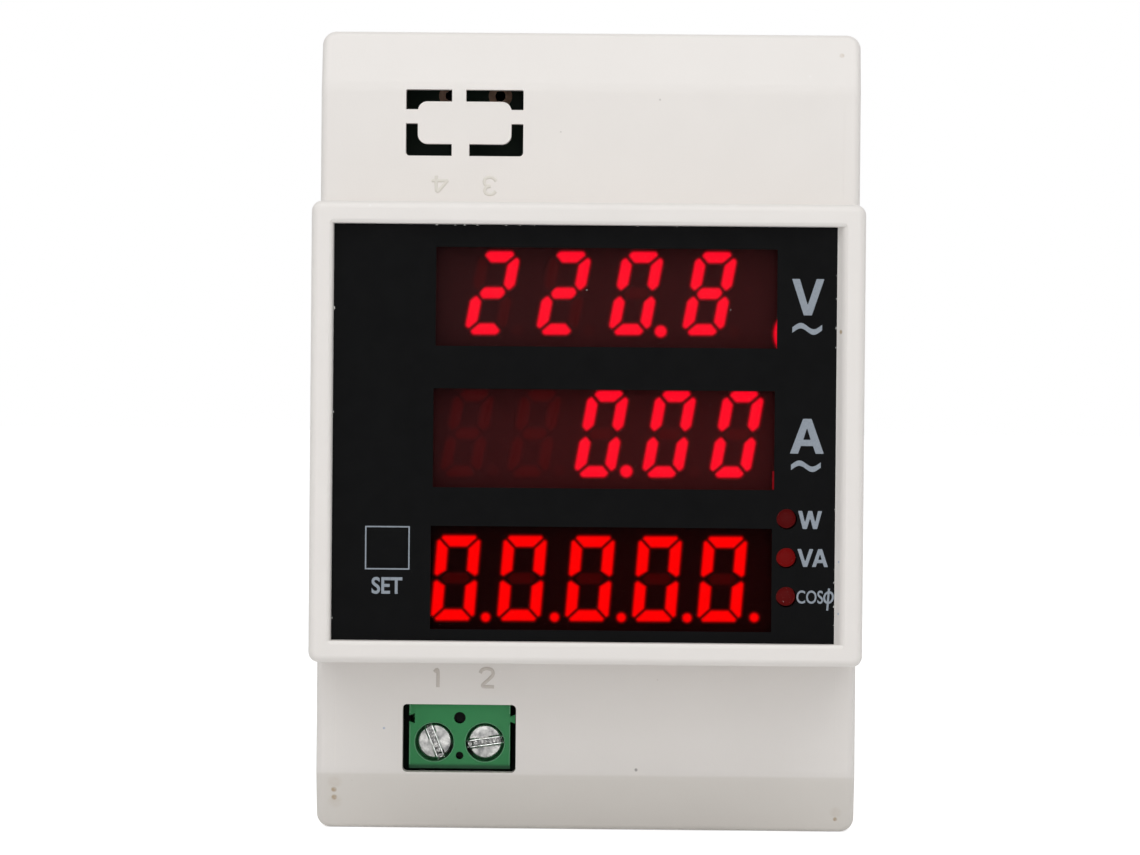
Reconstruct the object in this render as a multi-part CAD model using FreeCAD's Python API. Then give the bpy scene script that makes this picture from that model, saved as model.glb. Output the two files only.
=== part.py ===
import FreeCAD, Part
import math
import os

# Digital energy meter for a DIN rail. Sizes are in millimetres.
# X runs across the case, +Y points back into the rail, +Z points up as mounted.
# The origin is the middle of the face that seats on the rail.

V = FreeCAD.Vector

# Case: three modules of the DIN-rail grid
MODULE_WIDTH = 18.0
MODULE_COUNT = 3
BLOCK_HEIGHT = 45.0
BLOCK_STEP = 15.0
REAR_DEPTH = 6.0
WALL = 1.8
CASE_CORNER_RADIUS = 1.4
BLOCK_CORNER_RADIUS = 1.0
FRONT_EDGE_RADIUS = 0.7
REAR_EDGE_CHAMFER = 0.5
SEAM_CHAMFER = 0.25
BEVEL_WINDOW_GAP = 0.17
BEVEL_DEPTH = 2.0
BEVEL_CREASE_RADIUS = 3.0

# Half-lap joint and snaps between the two halves of the case
LAP_LENGTH = 1.6
LAP_CLEARANCE = 0.1
SNAP_WIDTH = 7.0
SNAP_SPACING = 28.0
SNAP_THICKNESS = 1.2
SNAP_ROOT_LENGTH = 4.0
SNAP_REACH = 4.0
SNAP_BARB_LENGTH = 2.2
SNAP_BARB_HEIGHT = 1.1
SNAP_CLEARANCE = 0.15
SNAP_BOARD_GAP = 0.8
SNAP_SLEEVE_GAP = 1.3

# Display frame, its recess and the ledge that the film lies on
FRAME_WIDTH = 1.75
RECESS_DEPTH = 1.2
RECESS_DRAFT = 0.25
RECESS_CORNER_RADIUS = 0.3
LEDGE_THICKNESS = 1.5
LEDGE_REST_SIDE = 2.7
LEDGE_REST_TOP = 0.9

# Front film with three lamp spots, and the bars left between its three windows
FILM_THICKNESS = 0.3
FILM_GAP_LEFT = 0.15
FILM_GAP_RIGHT = 0.7
FILM_GAP_TOP = 0.15
LAMP_SPOT_DIAMETER = 2.0
WINDOW_BAR = {"voltage": 3.92, "current": 3.92, "power": 3.47}
WINDOW_SHIFT_X = {"voltage": 0.38, "current": 0.23, "power": 0.07}
WINDOW_SHIFT_Z = {"voltage": -0.27, "current": -0.52, "power": -0.59}
WINDOW_EDGE = 0.16

# Digits of each row, placed about the middle of its window
DIGIT_COUNT = {"voltage": 4, "current": 5, "power": 5}
DIGIT_ROW_MARGIN = {"voltage": 5.14, "current": 0.3, "power": 0.8}
DIGIT_SPACE = {"voltage": 2.74, "current": 2.4, "power": 2.1}
DIGIT_TOP_MARGIN = {"voltage": 1.25, "current": 0.95, "power": 1.5}
DIGIT_SLANT = {"voltage": 10.4, "current": 10.0, "power": 4.4}
DIGIT_SHIFT_X = {"voltage": -0.55, "current": -0.23, "power": -1.13}
DIGIT_SHIFT_Z = {"voltage": 0.35, "current": 0.47, "power": 0.03}
SEGMENT_STROKE = 1.4
SEGMENT_GAP = 0.12
POINT_DIAMETER = 1.4
POINT_SIDES = 8
POINT_OFFSET = 0.95

# Display modules and their board
FILTER_THICKNESS = 1.2
FILTER_CLEARANCE = 0.1
DISPLAY_GAP = 0.15
DIGIT_RELIEF = 0.08
DISPLAY_ROW_GAP = 2.87
DISPLAY_DEPTH = 7.0
DISPLAY_KEY_GAP = 1.0
DISPLAY_LAMP_GAP = 0.4
DISPLAY_PIN_COUNT = 4
DISPLAY_PIN_PITCH = 5.08
DISPLAY_PIN_ROWS = 7.62
DISPLAY_PIN_SIZE = 0.5
PIN_TAIL = 1.2
PIN_CLEARANCE = 0.1
BOARD_THICKNESS = 1.6
BOARD_CLEARANCE = 0.4

# Posts that carry the boards, with pegs riveted over behind them
POST_WIDTH = 4.0
POST_INSET = 2.3
MAIN_POST_INSET = 2.8
MAIN_POST_END_GAP = 11.0
PEG_WIDTH = 1.6
PEG_CLEARANCE = 0.1
PEG_HEAD_WIDTH = 2.8
PEG_HEAD_HEIGHT = 0.6

# Mode lamps
LAMP_INSET = 5.63
LAMP_RISE = 2.19
LAMP_PITCH = 3.8
LAMP_COUNT = 3
LAMP_RADIUS = 0.95
LAMP_HEIGHT = 3.1
LAMP_LEAD_SIZE = 0.3
LAMP_LEAD_SPACING = 1.27

# Key switch under the film
KEY_SIDE_GAP = 2.8
KEY_POST_GAP = 2.1
KEY_BODY_SIZE = 6.0
KEY_BODY_HEIGHT = 3.5
KEY_PLUNGER_RADIUS = 1.75
KEY_PLUNGER_CLEARANCE = 0.1
KEY_PLUNGER_DEPTH = 1.6
KEY_PLUNGER_EDGE = 0.3
KEY_TRAVEL = 0.25
KEY_FILM_GAP = 0.3
KEY_HOLE_CLEARANCE = 0.4

# Terminal block and its window in the lower shoulder
TERMINAL_INSET = 14.34
TERMINAL_PITCH = 5.08
TERMINAL_POLES = 2
TERMINAL_BREADTH = 7.6
TERMINAL_BOTTOM_GAP = 0.25
TERMINAL_TOP_LAP = 1.05
TERMINAL_SIDE_GAP = 0.6
TERMINAL_FRONT_GAP = 0.1
TERMINAL_WINDOW_RADIUS = 0.45
WINDOW_BLOCK_GAP = 4.93
WINDOW_END_GAP = 5.77
TERMINAL_SCREW_RISE = 2.64
DOVETAIL_RISE = 5.0
DOVETAIL_DEPTH = 0.55
DOVETAIL_MOUTH = 0.6
DOVETAIL_BASE = 1.0
DOVETAIL_LENGTH = 7.0
DOVETAIL_CLEARANCE = 0.05
MARKER_HOLES = [(5.1, 0.585), (1.3, 0.385)]
MARKER_HOLE_DEPTH = 2.5

# Terminal screws, rising clamps and contacts
CLAMP_SCREW_RADIUS = 1.25
CLAMP_HEAD_RADIUS = 1.7
CLAMP_HEAD_HEIGHT = 1.45
CLAMP_HEAD_HOLE_CLEARANCE = 0.25
CLAMP_HEAD_SEAT = 2.4
CLAMP_BRIDGE = 0.7
CLAMP_SLOT_WIDTH = 0.7
CLAMP_SLOT_DEPTH = 0.8
CLAMP_SLOT_ANGLES = [-22.0, 81.6]
SCREW_CLEARANCE = 0.05
THREAD_PITCH = 0.45
CLAMP_TURNS = 4
CLAMP_WIDTH = 3.6
CLAMP_BREADTH = 3.2
CLAMP_FRONT_WALL = 0.9
CLAMP_REAR_WALL = 0.6
CLAMP_SIDE_WALL = 0.5
CLAMP_SIDE_GAP = 0.2
MOVING_GAP = 0.3
CONTACT_WIDTH = 1.9
CONTACT_THICKNESS = 0.6
CONTACT_LEG_RISE = 3.1
CONTACT_PIN_WIDTH = 1.0
CONTACT_CLEARANCE = 0.2
WIRE_ENTRY_WIDTH = 2.8
WIRE_WINDOW_SIDE_GAP = 0.22
WIRE_WINDOW_HEIGHT = 4.8
WIRE_WINDOW_BOARD_GAP = 0.4

# Knock-out for a second terminal block, and the bare pads behind it
KNOCKOUT_SHIFT = 0.03
KNOCKOUT_WIDTH = 11.76
KNOCKOUT_HEIGHT = 6.64
KNOCKOUT_SLOT = 1.2
KNOCKOUT_PANEL_RADIUS = 0.95
KNOCKOUT_CORNER_RADIUS = 0.4
KNOCKOUT_UPPER_CORNER_RADIUS = 0.15
KNOCKOUT_BRIDGE = 1.4
KNOCKOUT_LOWER_BRIDGE = 1.75
KNOCKOUT_UPPER_BRIDGE_SHIFT = -0.57
KNOCKOUT_LOWER_BRIDGE_SHIFT = -0.4
KNOCKOUT_SIDE_BRIDGE_SHIFT = 0.62
SPARE_PAD_SHIFT = 0.76
SPARE_PAD_RISE = 3.27
SPARE_PAD_RADIUS = 1.2
SPARE_PAD_HOLE_RADIUS = 0.52
SPARE_PAD_THICKNESS = 0.1

# Rail seat, hooks and latch for a 35 mm top-hat rail with 1 mm lips
RAIL_WIDTH = 35.0
RAIL_LIP = 1.0
RAIL_CLEARANCE = 0.2
SEAT_INSET = 2.5
SEAT_RELIEF = 0.3
SEAT_THICKNESS = 2.0
HOOK_OVERLAP = 1.3
HOOK_DEPTH = 2.4
HOOK_WIDTH = 14.0
HOOK_SIDE_GAP = 3.0
LATCH_WIDTH = 14.0
LATCH_THICKNESS = 2.2
LATCH_END_INSET = 0.4
LATCH_MOUTH_WIDTH = 9.0
LATCH_WINDOW_WIDTH = 4.8
LATCH_NOSE_LENGTH = 2.8
LATCH_TAIL = 3.7
LATCH_SEAT_THICKNESS = 1.5
LATCH_SEAT_HEIGHT = 2.0
LATCH_TOOL_SLOT_WIDTH = 6.0
LATCH_TOOL_SLOT_HEIGHT = 1.2
SPRING_POST_CLEARANCE = 0.5
SPRING_POST_HEIGHT = 1.6
SPRING_WIDTH = 4.0
SPRING_DEPTH = 3.4
SPRING_STRIP = 0.4
SPRING_BENDS = 6
SPRING_END_GAP = 0.1

# Wire sleeve and ring current transformer
SLEEVE_BORE = 10.0
SLEEVE_WALL = 1.2
SLEEVE_LEAD_IN = 0.6
SLEEVE_CLEARANCE = 0.1
RING_CLEARANCE = 0.3
RING_WALL = 3.8
RING_HEIGHT = 14.0
RING_Z = -6.0
RING_BACK_GAP = 0.2
RING_SIDE_GAP = 0.9

# Parts on the two boards
CONNECTOR_SIDE_GAP = 1.65
CONNECTOR_PINS = 6
CONNECTOR_PITCH = 2.54
CONNECTOR_BREADTH = 2.5
CONNECTOR_PIN_SIZE = 0.64
CONNECTOR_PIN_CLEARANCE = 0.05
CONNECTOR_HEADER_HEIGHT = 2.5
CONNECTOR_SOCKET_GAP = 1.6
CONNECTOR_PIN_INSERT = 4.0
CHIP_BREADTH = 7.5
CHIP_HEIGHT = 2.3
CHIP_LEG_PITCH = 1.27
CHIP_LEG_WIDTH = 0.42
CHIP_LEG_REACH = 1.4
CHIP_LEG_THICKNESS = 0.25
METER_CHIP = {"x": 4.0, "z": 8.0, "legs": 8}
CONTROLLER_CHIP = {"x": 4.0, "z": -9.0, "legs": 6}
FILM_CAPACITOR = {"x": -14.0, "z": 14.0, "width": 8.5, "length": 18.0, "height": 15.0, "edge": 0.8}
ROUND_CAPACITOR = {"x": -14.0, "z": -8.0, "radius": 4.0, "height": 12.0}
VARISTOR = {"x": -14.0, "z": -22.0, "radius": 5.0, "thickness": 4.0, "lead": 2.0, "leg": 0.6}

TOLERANCE = 1e-4
OVERRUN = 2.0

# Working lines across the case
HALF_WIDTH = MODULE_WIDTH * MODULE_COUNT / 2
SLEEVE_RADIUS = SLEEVE_BORE / 2 + SLEEVE_WALL
RING_RADIUS = SLEEVE_RADIUS + RING_CLEARANCE + RING_WALL
SLEEVE_X = HALF_WIDTH - WALL - RING_SIDE_GAP - RING_RADIUS
TERMINAL_X = TERMINAL_INSET - HALF_WIDTH
TERMINAL_HALF = TERMINAL_PITCH * TERMINAL_POLES / 2
POLE_X = [TERMINAL_X - TERMINAL_HALF + TERMINAL_PITCH * (pole + 0.5) for pole in range(TERMINAL_POLES)]
KEY_X = WALL + KEY_SIDE_GAP + KEY_BODY_SIZE / 2 - HALF_WIDTH
LAMP_X = HALF_WIDTH - WALL - LAMP_INSET
DISPLAY_LEFT = KEY_X + KEY_BODY_SIZE / 2 + DISPLAY_KEY_GAP
DISPLAY_WIDTH = LAMP_X - LAMP_RADIUS - DISPLAY_LAMP_GAP - DISPLAY_LEFT
WINDOW_WIDTH = DISPLAY_WIDTH - 2 * WINDOW_EDGE
WINDOW_X = {row: DISPLAY_LEFT + DISPLAY_WIDTH / 2 + shift for row, shift in WINDOW_SHIFT_X.items()}
CONNECTOR_X = HALF_WIDTH - WALL - CONNECTOR_SIDE_GAP - CONNECTOR_BREADTH / 2

# Working lines up the case
HALF_BLOCK = BLOCK_HEIGHT / 2
TERMINAL_WINDOW_HEIGHT = TERMINAL_BOTTOM_GAP + TERMINAL_BREADTH - TERMINAL_TOP_LAP
HALF_HEIGHT = HALF_BLOCK + WINDOW_BLOCK_GAP + TERMINAL_WINDOW_HEIGHT + WINDOW_END_GAP
TERMINAL_WINDOW_Z = WINDOW_END_GAP + TERMINAL_WINDOW_HEIGHT / 2 - HALF_HEIGHT
BEVEL_HEIGHT = WINDOW_END_GAP - BEVEL_WINDOW_GAP
TERMINAL_BOTTOM_Z = TERMINAL_WINDOW_Z - TERMINAL_WINDOW_HEIGHT / 2 + TERMINAL_BOTTOM_GAP
TERMINAL_SCREW_Z = TERMINAL_BOTTOM_Z + TERMINAL_SCREW_RISE
CONTACT_PIN_Z = TERMINAL_SCREW_Z + CONTACT_LEG_RISE
FILM_HALF_HEIGHT = HALF_BLOCK - FRAME_WIDTH - RECESS_DRAFT - FILM_GAP_TOP
ROW_PITCH = 2 * FILM_HALF_HEIGHT / len(WINDOW_BAR)
WINDOW_HEIGHT = {row: ROW_PITCH - bar for row, bar in WINDOW_BAR.items()}
WINDOW_Z = {row: FILM_HALF_HEIGHT - ROW_PITCH * (index + 0.5) + WINDOW_SHIFT_Z[row]
            for index, row in enumerate(WINDOW_BAR)}
KEY_Z = WALL + POST_INSET + POST_WIDTH / 2 + KEY_POST_GAP + KEY_BODY_SIZE / 2 - HALF_BLOCK
LAMP_Z = WINDOW_Z["power"] + LAMP_RISE

# Working lines from the rail seat to the front
SLEEVE_Y = -(SEAT_THICKNESS + RING_BACK_GAP + RING_RADIUS)
PARTING_Y = SLEEVE_Y - SLEEVE_RADIUS - SNAP_SLEEVE_GAP - SNAP_REACH
LAP_FRONT_Y = PARTING_Y - LAP_LENGTH - LAP_CLEARANCE
MAIN_BOARD_BACK_Y = LAP_FRONT_Y - SNAP_ROOT_LENGTH - SNAP_BOARD_GAP
MAIN_BOARD_Y = MAIN_BOARD_BACK_Y - BOARD_THICKNESS
CLAMP_TRAVEL = THREAD_PITCH * CLAMP_TURNS
CLAMP_BACK_Y = MAIN_BOARD_Y - MOVING_GAP
CLAMP_REAR_WALL_Y = CLAMP_BACK_Y - CLAMP_REAR_WALL
CONTACT_BACK_Y = CLAMP_REAR_WALL_Y - MOVING_GAP - CLAMP_TRAVEL
CONTACT_Y = CONTACT_BACK_Y - CONTACT_THICKNESS
CLAMP_Y = CONTACT_Y - MOVING_GAP - CLAMP_FRONT_WALL
BRIDGE_BACK_Y = CLAMP_Y - CLAMP_TRAVEL - MOVING_GAP
HEAD_SEAT_Y = BRIDGE_BACK_Y - CLAMP_BRIDGE
TERMINAL_FRONT_Y = HEAD_SEAT_Y - CLAMP_HEAD_SEAT
SHOULDER_BACK_Y = TERMINAL_FRONT_Y - TERMINAL_FRONT_GAP
SHOULDER_Y = SHOULDER_BACK_Y - WALL
FRONT_Y = SHOULDER_Y - BLOCK_STEP
FILM_FRONT_Y = FRONT_Y + RECESS_DEPTH
LEDGE_FRONT_Y = FILM_FRONT_Y + FILM_THICKNESS
LEDGE_BACK_Y = LEDGE_FRONT_Y + LEDGE_THICKNESS
FILTER_BACK_Y = LEDGE_FRONT_Y + FILTER_THICKNESS
DISPLAY_FACE_Y = FILTER_BACK_Y + DISPLAY_GAP
DISPLAY_BOARD_Y = DISPLAY_FACE_Y + DISPLAY_DEPTH
DISPLAY_BOARD_BACK_Y = DISPLAY_BOARD_Y + BOARD_THICKNESS
KEY_BODY_Y = DISPLAY_BOARD_Y - KEY_BODY_HEIGHT
SOCKET_Y = DISPLAY_BOARD_BACK_Y + CONNECTOR_HEADER_HEIGHT + CONNECTOR_SOCKET_GAP

# Working lines of the rail slot and the latch
SLOT_HALF = RAIL_WIDTH / 2 + RAIL_CLEARANCE
HOOK_Y = RAIL_LIP + RAIL_CLEARANCE
HOOK_TIP_Z = RAIL_WIDTH / 2 - HOOK_OVERLAP
LATCH_BACK_Y = HOOK_Y + LATCH_THICKNESS
CHANNEL_Y = HOOK_Y - MOVING_GAP
CHANNEL_BACK_Y = LATCH_BACK_Y + MOVING_GAP
LATCH_END_Z = LATCH_END_INSET - HALF_HEIGHT
LATCH_WINDOW_Z = LATCH_END_Z + LATCH_TAIL
SPRING_POST_Z = LATCH_WINDOW_Z + MOVING_GAP
SPRING_LOW_Z = SPRING_POST_Z + SPRING_POST_HEIGHT
SPRING_HIGH_Z = -SLOT_HALF - LATCH_NOSE_LENGTH - LATCH_SEAT_THICKNESS


def box(x0, x1, y0, y1, z0, z1):
    """Box between two corners, whose values can come in any order."""
    return Part.makeBox(abs(x1 - x0), abs(y1 - y0), abs(z1 - z0), V(min(x0, x1), min(y0, y1), min(z0, z1)))


def centred_box(x, z, width, height, y0, y1):
    return box(x - width / 2, x + width / 2, y0, y1, z - height / 2, z + height / 2)


def rod_y(x, z, radius, y0, y1):
    return Part.makeCylinder(radius, y1 - y0, V(x, y0, z), V(0, 1, 0))


def rod_z(x, y, radius, z0, z1):
    return Part.makeCylinder(radius, z1 - z0, V(x, y, z0), V(0, 0, 1))


def polygon_face(corners):
    return Part.Face(Part.makePolygon(corners + corners[:1]))


def plate(points, y0, y1):
    """Extrudes an outline of (x, z) points along Y."""
    return polygon_face([V(x, y0, z) for x, z in points]).extrude(V(0, y1 - y0, 0))


def side_prism(points, x0, x1):
    """Extrudes a side profile of (y, z) points along X."""
    return polygon_face([V(x0, y, z) for y, z in points]).extrude(V(x1 - x0, 0, 0))


def turned(x, z, profile):
    """Revolves a profile of (radius, y) points about an axis along Y."""
    return polygon_face([V(x + radius, y, z) for radius, y in profile]).revolve(V(x, 0, z), V(0, 1, 0), 360)


def rounded_wire(x, z, width, height, radius, y):
    """Rectangle with round corners, in the plane at y."""
    reach_x, reach_z = width / 2 - radius, height / 2 - radius
    arcs = []
    for quarter, (side_x, side_z) in enumerate([(1, 1), (-1, 1), (-1, -1), (1, -1)]):
        centre = V(x + side_x * reach_x, y, z + side_z * reach_z)
        angles = [math.pi / 2 * (quarter + step / 2) for step in range(3)]
        arcs.append([centre + V(radius * math.cos(angle), 0, radius * math.sin(angle)) for angle in angles])
    edges = []
    for arc, following in zip(arcs, arcs[1:] + arcs[:1]):
        edges.append(Part.Arc(*arc).toShape())
        edges.append(Part.LineSegment(arc[-1], following[0]).toShape())
    return Part.Wire(edges)


def rounded_prism(x, z, width, height, radius, y0, y1):
    return Part.Face(rounded_wire(x, z, width, height, radius, y0)).extrude(V(0, y1 - y0, 0))


def cut_all(shape, tools):
    return shape.cut(Part.makeCompound(tools))


def fuse_all(shapes):
    return shapes[0].fuse(shapes[1:]).removeSplitter()


def fillet_where(shape, radius, wanted):
    return shape.makeFillet(radius, [edge for edge in shape.Edges if wanted(edge)])


def chamfer_where(shape, size, wanted):
    return shape.makeChamfer(size, [edge for edge in shape.Edges if wanted(edge)])


def lies_at(edge, axis, value):
    """True for an edge that lies wholly in the plane axis = value."""
    bounds = edge.BoundBox
    low, high = {"x": (bounds.XMin, bounds.XMax), "y": (bounds.YMin, bounds.YMax),
                 "z": (bounds.ZMin, bounds.ZMax)}[axis]
    return abs(low - value) < TOLERANCE and abs(high - value) < TOLERANCE


def snap_places():
    """Middle of each snap across the case, and the wall that it is on."""
    return [(x, side) for x in (-SNAP_SPACING / 2, SNAP_SPACING / 2) for side in (-1, 1)]


def corner_places(x, z):
    return [(side_x * x, side_z * z) for side_x in (-1, 1) for side_z in (-1, 1)]


def display_posts():
    """Centres of the four posts that carry the display board."""
    return corner_places(HALF_WIDTH - WALL - POST_INSET, HALF_BLOCK - WALL - POST_INSET)


def main_posts():
    """Centres of the four posts that carry the main board."""
    return corner_places(HALF_WIDTH - WALL - MAIN_POST_INSET, HALF_HEIGHT - MAIN_POST_END_GAP)


def lamp_places():
    return [LAMP_Z + LAMP_PITCH * (1 - index) for index in range(LAMP_COUNT)]


# Front cover

def on_outline(edge):
    """True for an edge on the outline of the case as seen from the front."""
    middle = edge.CenterOfMass
    near_side = abs(middle.x) > HALF_WIDTH - CASE_CORNER_RADIUS
    near_end = abs(middle.z) > HALF_HEIGHT - CASE_CORNER_RADIUS
    return near_side or near_end


def shoulder_profile(front_y, end_z, crease_z):
    """Side profile of both shoulders with their bevelled ends."""
    bevel_y = front_y + BEVEL_DEPTH
    return [(PARTING_Y, end_z), (bevel_y, end_z), (front_y, crease_z),
            (front_y, -crease_z), (bevel_y, -end_z), (PARTING_Y, -end_z)]


def cover_shell():
    """Outer form: two shoulders with bevelled ends and the raised display block."""
    crease = HALF_HEIGHT - BEVEL_HEIGHT
    body = side_prism(shoulder_profile(SHOULDER_Y, HALF_HEIGHT, crease), -HALF_WIDTH, HALF_WIDTH)
    body = fillet_where(body, BEVEL_CREASE_RADIUS, lambda edge: lies_at(edge, "y", SHOULDER_Y)
                        and abs(abs(edge.CenterOfMass.z) - crease) < TOLERANCE)
    body = body.common(rounded_prism(0, 0, 2 * HALF_WIDTH, 2 * HALF_HEIGHT, CASE_CORNER_RADIUS,
                                     SHOULDER_Y, PARTING_Y))
    rim_y = SHOULDER_Y + BEVEL_DEPTH + FRONT_EDGE_RADIUS
    body = fillet_where(body, FRONT_EDGE_RADIUS, lambda edge: edge.BoundBox.YMax < rim_y and on_outline(edge))
    body = chamfer_where(body, SEAM_CHAMFER, lambda edge: lies_at(edge, "y", PARTING_Y))
    block = rounded_prism(0, 0, 2 * HALF_WIDTH, BLOCK_HEIGHT, BLOCK_CORNER_RADIUS, FRONT_Y, SHOULDER_BACK_Y)
    block = fillet_where(block, FRONT_EDGE_RADIUS, lambda edge: lies_at(edge, "y", FRONT_Y))
    return body.fuse(block).removeSplitter()


def cover_hollow():
    """Inside of the cover, one wall thickness in from the outer form."""
    inner_x = HALF_WIDTH - WALL
    crease = HALF_HEIGHT - BEVEL_HEIGHT - WALL / 2
    body = side_prism(shoulder_profile(SHOULDER_BACK_Y, HALF_HEIGHT - WALL, crease), -inner_x, inner_x)
    block = box(-inner_x, inner_x, LEDGE_BACK_Y, PARTING_Y, WALL - HALF_BLOCK, HALF_BLOCK - WALL)
    return body.fuse(block)


def frame_recess():
    """Drafted recess that the film lies in."""
    width = 2 * (HALF_WIDTH - FRAME_WIDTH)
    height = 2 * (HALF_BLOCK - FRAME_WIDTH)
    mouth = rounded_wire(0, 0, width, height, RECESS_CORNER_RADIUS + RECESS_DRAFT, FRONT_Y)
    floor = rounded_wire(0, 0, width - 2 * RECESS_DRAFT, height - 2 * RECESS_DRAFT, RECESS_CORNER_RADIUS,
                         LEDGE_FRONT_Y)
    return Part.makeLoft([mouth, floor], True, True)


def ledge_opening(clearance, y0, y1):
    """Opening behind the film, with a pad left in each corner for the posts."""
    half_w = HALF_WIDTH - FRAME_WIDTH - RECESS_DRAFT - LEDGE_REST_SIDE - clearance
    half_h = HALF_BLOCK - FRAME_WIDTH - RECESS_DRAFT - LEDGE_REST_TOP - clearance
    reach = POST_WIDTH / 2 + clearance
    pads = [box(x - math.copysign(reach, x), math.copysign(HALF_WIDTH, x), y0, y1,
                z - math.copysign(reach, z), math.copysign(HALF_BLOCK, z)) for x, z in display_posts()]
    return cut_all(box(-half_w, half_w, y0, y1, -half_h, half_h), pads)


def knockout_slots():
    """Slots round the panel that is broken out for a second terminal block."""
    x, z = TERMINAL_X + KNOCKOUT_SHIFT, -TERMINAL_WINDOW_Z
    y0, y1 = SHOULDER_Y - OVERRUN, SHOULDER_BACK_Y + OVERRUN
    half = KNOCKOUT_HEIGHT / 2
    outer = rounded_prism(x, z, KNOCKOUT_WIDTH, KNOCKOUT_HEIGHT, KNOCKOUT_CORNER_RADIUS, y0, y1)
    upper = rounded_prism(x, z + half / 2, KNOCKOUT_WIDTH, half, KNOCKOUT_UPPER_CORNER_RADIUS, y0, y1)
    inner = rounded_prism(x, z, KNOCKOUT_WIDTH - 2 * KNOCKOUT_SLOT, KNOCKOUT_HEIGHT - 2 * KNOCKOUT_SLOT,
                          KNOCKOUT_PANEL_RADIUS, y0, y1)
    bridges = [centred_box(x + KNOCKOUT_UPPER_BRIDGE_SHIFT, z + half, KNOCKOUT_BRIDGE, half, y0, y1),
               centred_box(x + KNOCKOUT_LOWER_BRIDGE_SHIFT, z - half, KNOCKOUT_LOWER_BRIDGE, half, y0, y1),
               centred_box(x, z + KNOCKOUT_SIDE_BRIDGE_SHIFT, KNOCKOUT_WIDTH + OVERRUN, KNOCKOUT_BRIDGE,
                           y0, y1)]
    return cut_all(fuse_all([outer, upper]), [inner] + bridges)


def terminal_window():
    width = 2 * (TERMINAL_HALF + TERMINAL_SIDE_GAP)
    return rounded_prism(TERMINAL_X, TERMINAL_WINDOW_Z, width, TERMINAL_WINDOW_HEIGHT,
                         TERMINAL_WINDOW_RADIUS, SHOULDER_Y - OVERRUN, SHOULDER_BACK_Y + OVERRUN)


def wire_window():
    """Opening in the bottom face where the supply wires reach the terminals."""
    half = TERMINAL_HALF + WIRE_WINDOW_SIDE_GAP
    y1 = MAIN_BOARD_Y - WIRE_WINDOW_BOARD_GAP
    return box(TERMINAL_X - half, TERMINAL_X + half, y1 - WIRE_WINDOW_HEIGHT, y1,
               -HALF_HEIGHT - OVERRUN, WALL + OVERRUN - HALF_HEIGHT)


def lap_outline(inset, y0, y1):
    """Prism along the joint between the halves, set in from the outer form."""
    return rounded_prism(0, 0, 2 * (HALF_WIDTH - inset), 2 * (HALF_HEIGHT - inset), CASE_CORNER_RADIUS / 2,
                         y0, y1)


def snap_tongue(x, side):
    """Springy tongue with a barb, on the top (side 1) or bottom (side -1) wall."""
    outer = HALF_HEIGHT - WALL
    inner = outer - SNAP_THICKNESS
    face = outer - LAP_CLEARANCE
    back = PARTING_Y + SNAP_REACH
    barb = back - SNAP_BARB_LENGTH
    root = LAP_FRONT_Y - SNAP_ROOT_LENGTH
    profile = [(root, outer), (LAP_FRONT_Y, outer), (LAP_FRONT_Y, face), (barb, face),
               (barb, face + SNAP_BARB_HEIGHT), (back, face), (back, inner), (root + SNAP_THICKNESS, inner)]
    return side_prism([(y, side * z) for y, z in profile], x - SNAP_WIDTH / 2, x + SNAP_WIDTH / 2)


def board_post(x, z, y0, board_y):
    """Square post with a peg through the board and the peg's riveted head behind it."""
    back = board_y + BOARD_THICKNESS
    return [centred_box(x, z, POST_WIDTH, POST_WIDTH, y0, board_y),
            centred_box(x, z, PEG_WIDTH, PEG_WIDTH, board_y, back),
            centred_box(x, z, PEG_HEAD_WIDTH, PEG_HEAD_WIDTH, back, back + PEG_HEAD_HEIGHT)]


def front_cover():
    rebate = lap_outline(WALL / 2 - LAP_CLEARANCE / 2, LAP_FRONT_Y, PARTING_Y)
    opening = ledge_opening(0, LEDGE_FRONT_Y - OVERRUN, LEDGE_BACK_Y)
    shell = cut_all(cover_shell(), [cover_hollow(), rebate, frame_recess(), opening, knockout_slots(),
                                    terminal_window(), wire_window()])
    additions = [snap_tongue(x, side) for x, side in snap_places()]
    for x, z in display_posts():
        additions += board_post(x, z, LEDGE_BACK_Y, DISPLAY_BOARD_Y)
    for x, z in main_posts():
        additions += board_post(x, z, SHOULDER_BACK_Y, MAIN_BOARD_Y)
    return fuse_all([shell] + additions)


# Rear housing with the rail slot

def rear_hollow():
    """Inside of the rear housing: shallow behind the rail, deeper above it and beside the latch."""
    inner_x = HALF_WIDTH - WALL
    inner_z = HALF_HEIGHT - WALL
    deep_y = REAR_DEPTH - WALL
    deep_z = SLOT_HALF + WALL
    side_x = LATCH_WIDTH / 2 + MOVING_GAP + WALL
    main = box(-inner_x, inner_x, PARTING_Y - LAP_LENGTH, -SEAT_THICKNESS, -inner_z, inner_z)
    upper = box(-inner_x, inner_x, -SEAT_THICKNESS, deep_y, deep_z, inner_z)
    lower = [box(side * side_x, side * inner_x, -SEAT_THICKNESS, deep_y, -inner_z, -deep_z)
             for side in (-1, 1)]
    return fuse_all([main, upper] + lower)


def rail_slot():
    """Slot for the rail, with the seat standing a little proud of it."""
    seat_half = RAIL_WIDTH / 2 - SEAT_INSET
    slot = box(-HALF_WIDTH, HALF_WIDTH, -SEAT_RELIEF, REAR_DEPTH, -SLOT_HALF, SLOT_HALF)
    return slot.cut(box(-HALF_WIDTH, HALF_WIDTH, -SEAT_RELIEF, 0, -seat_half, seat_half))


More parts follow.
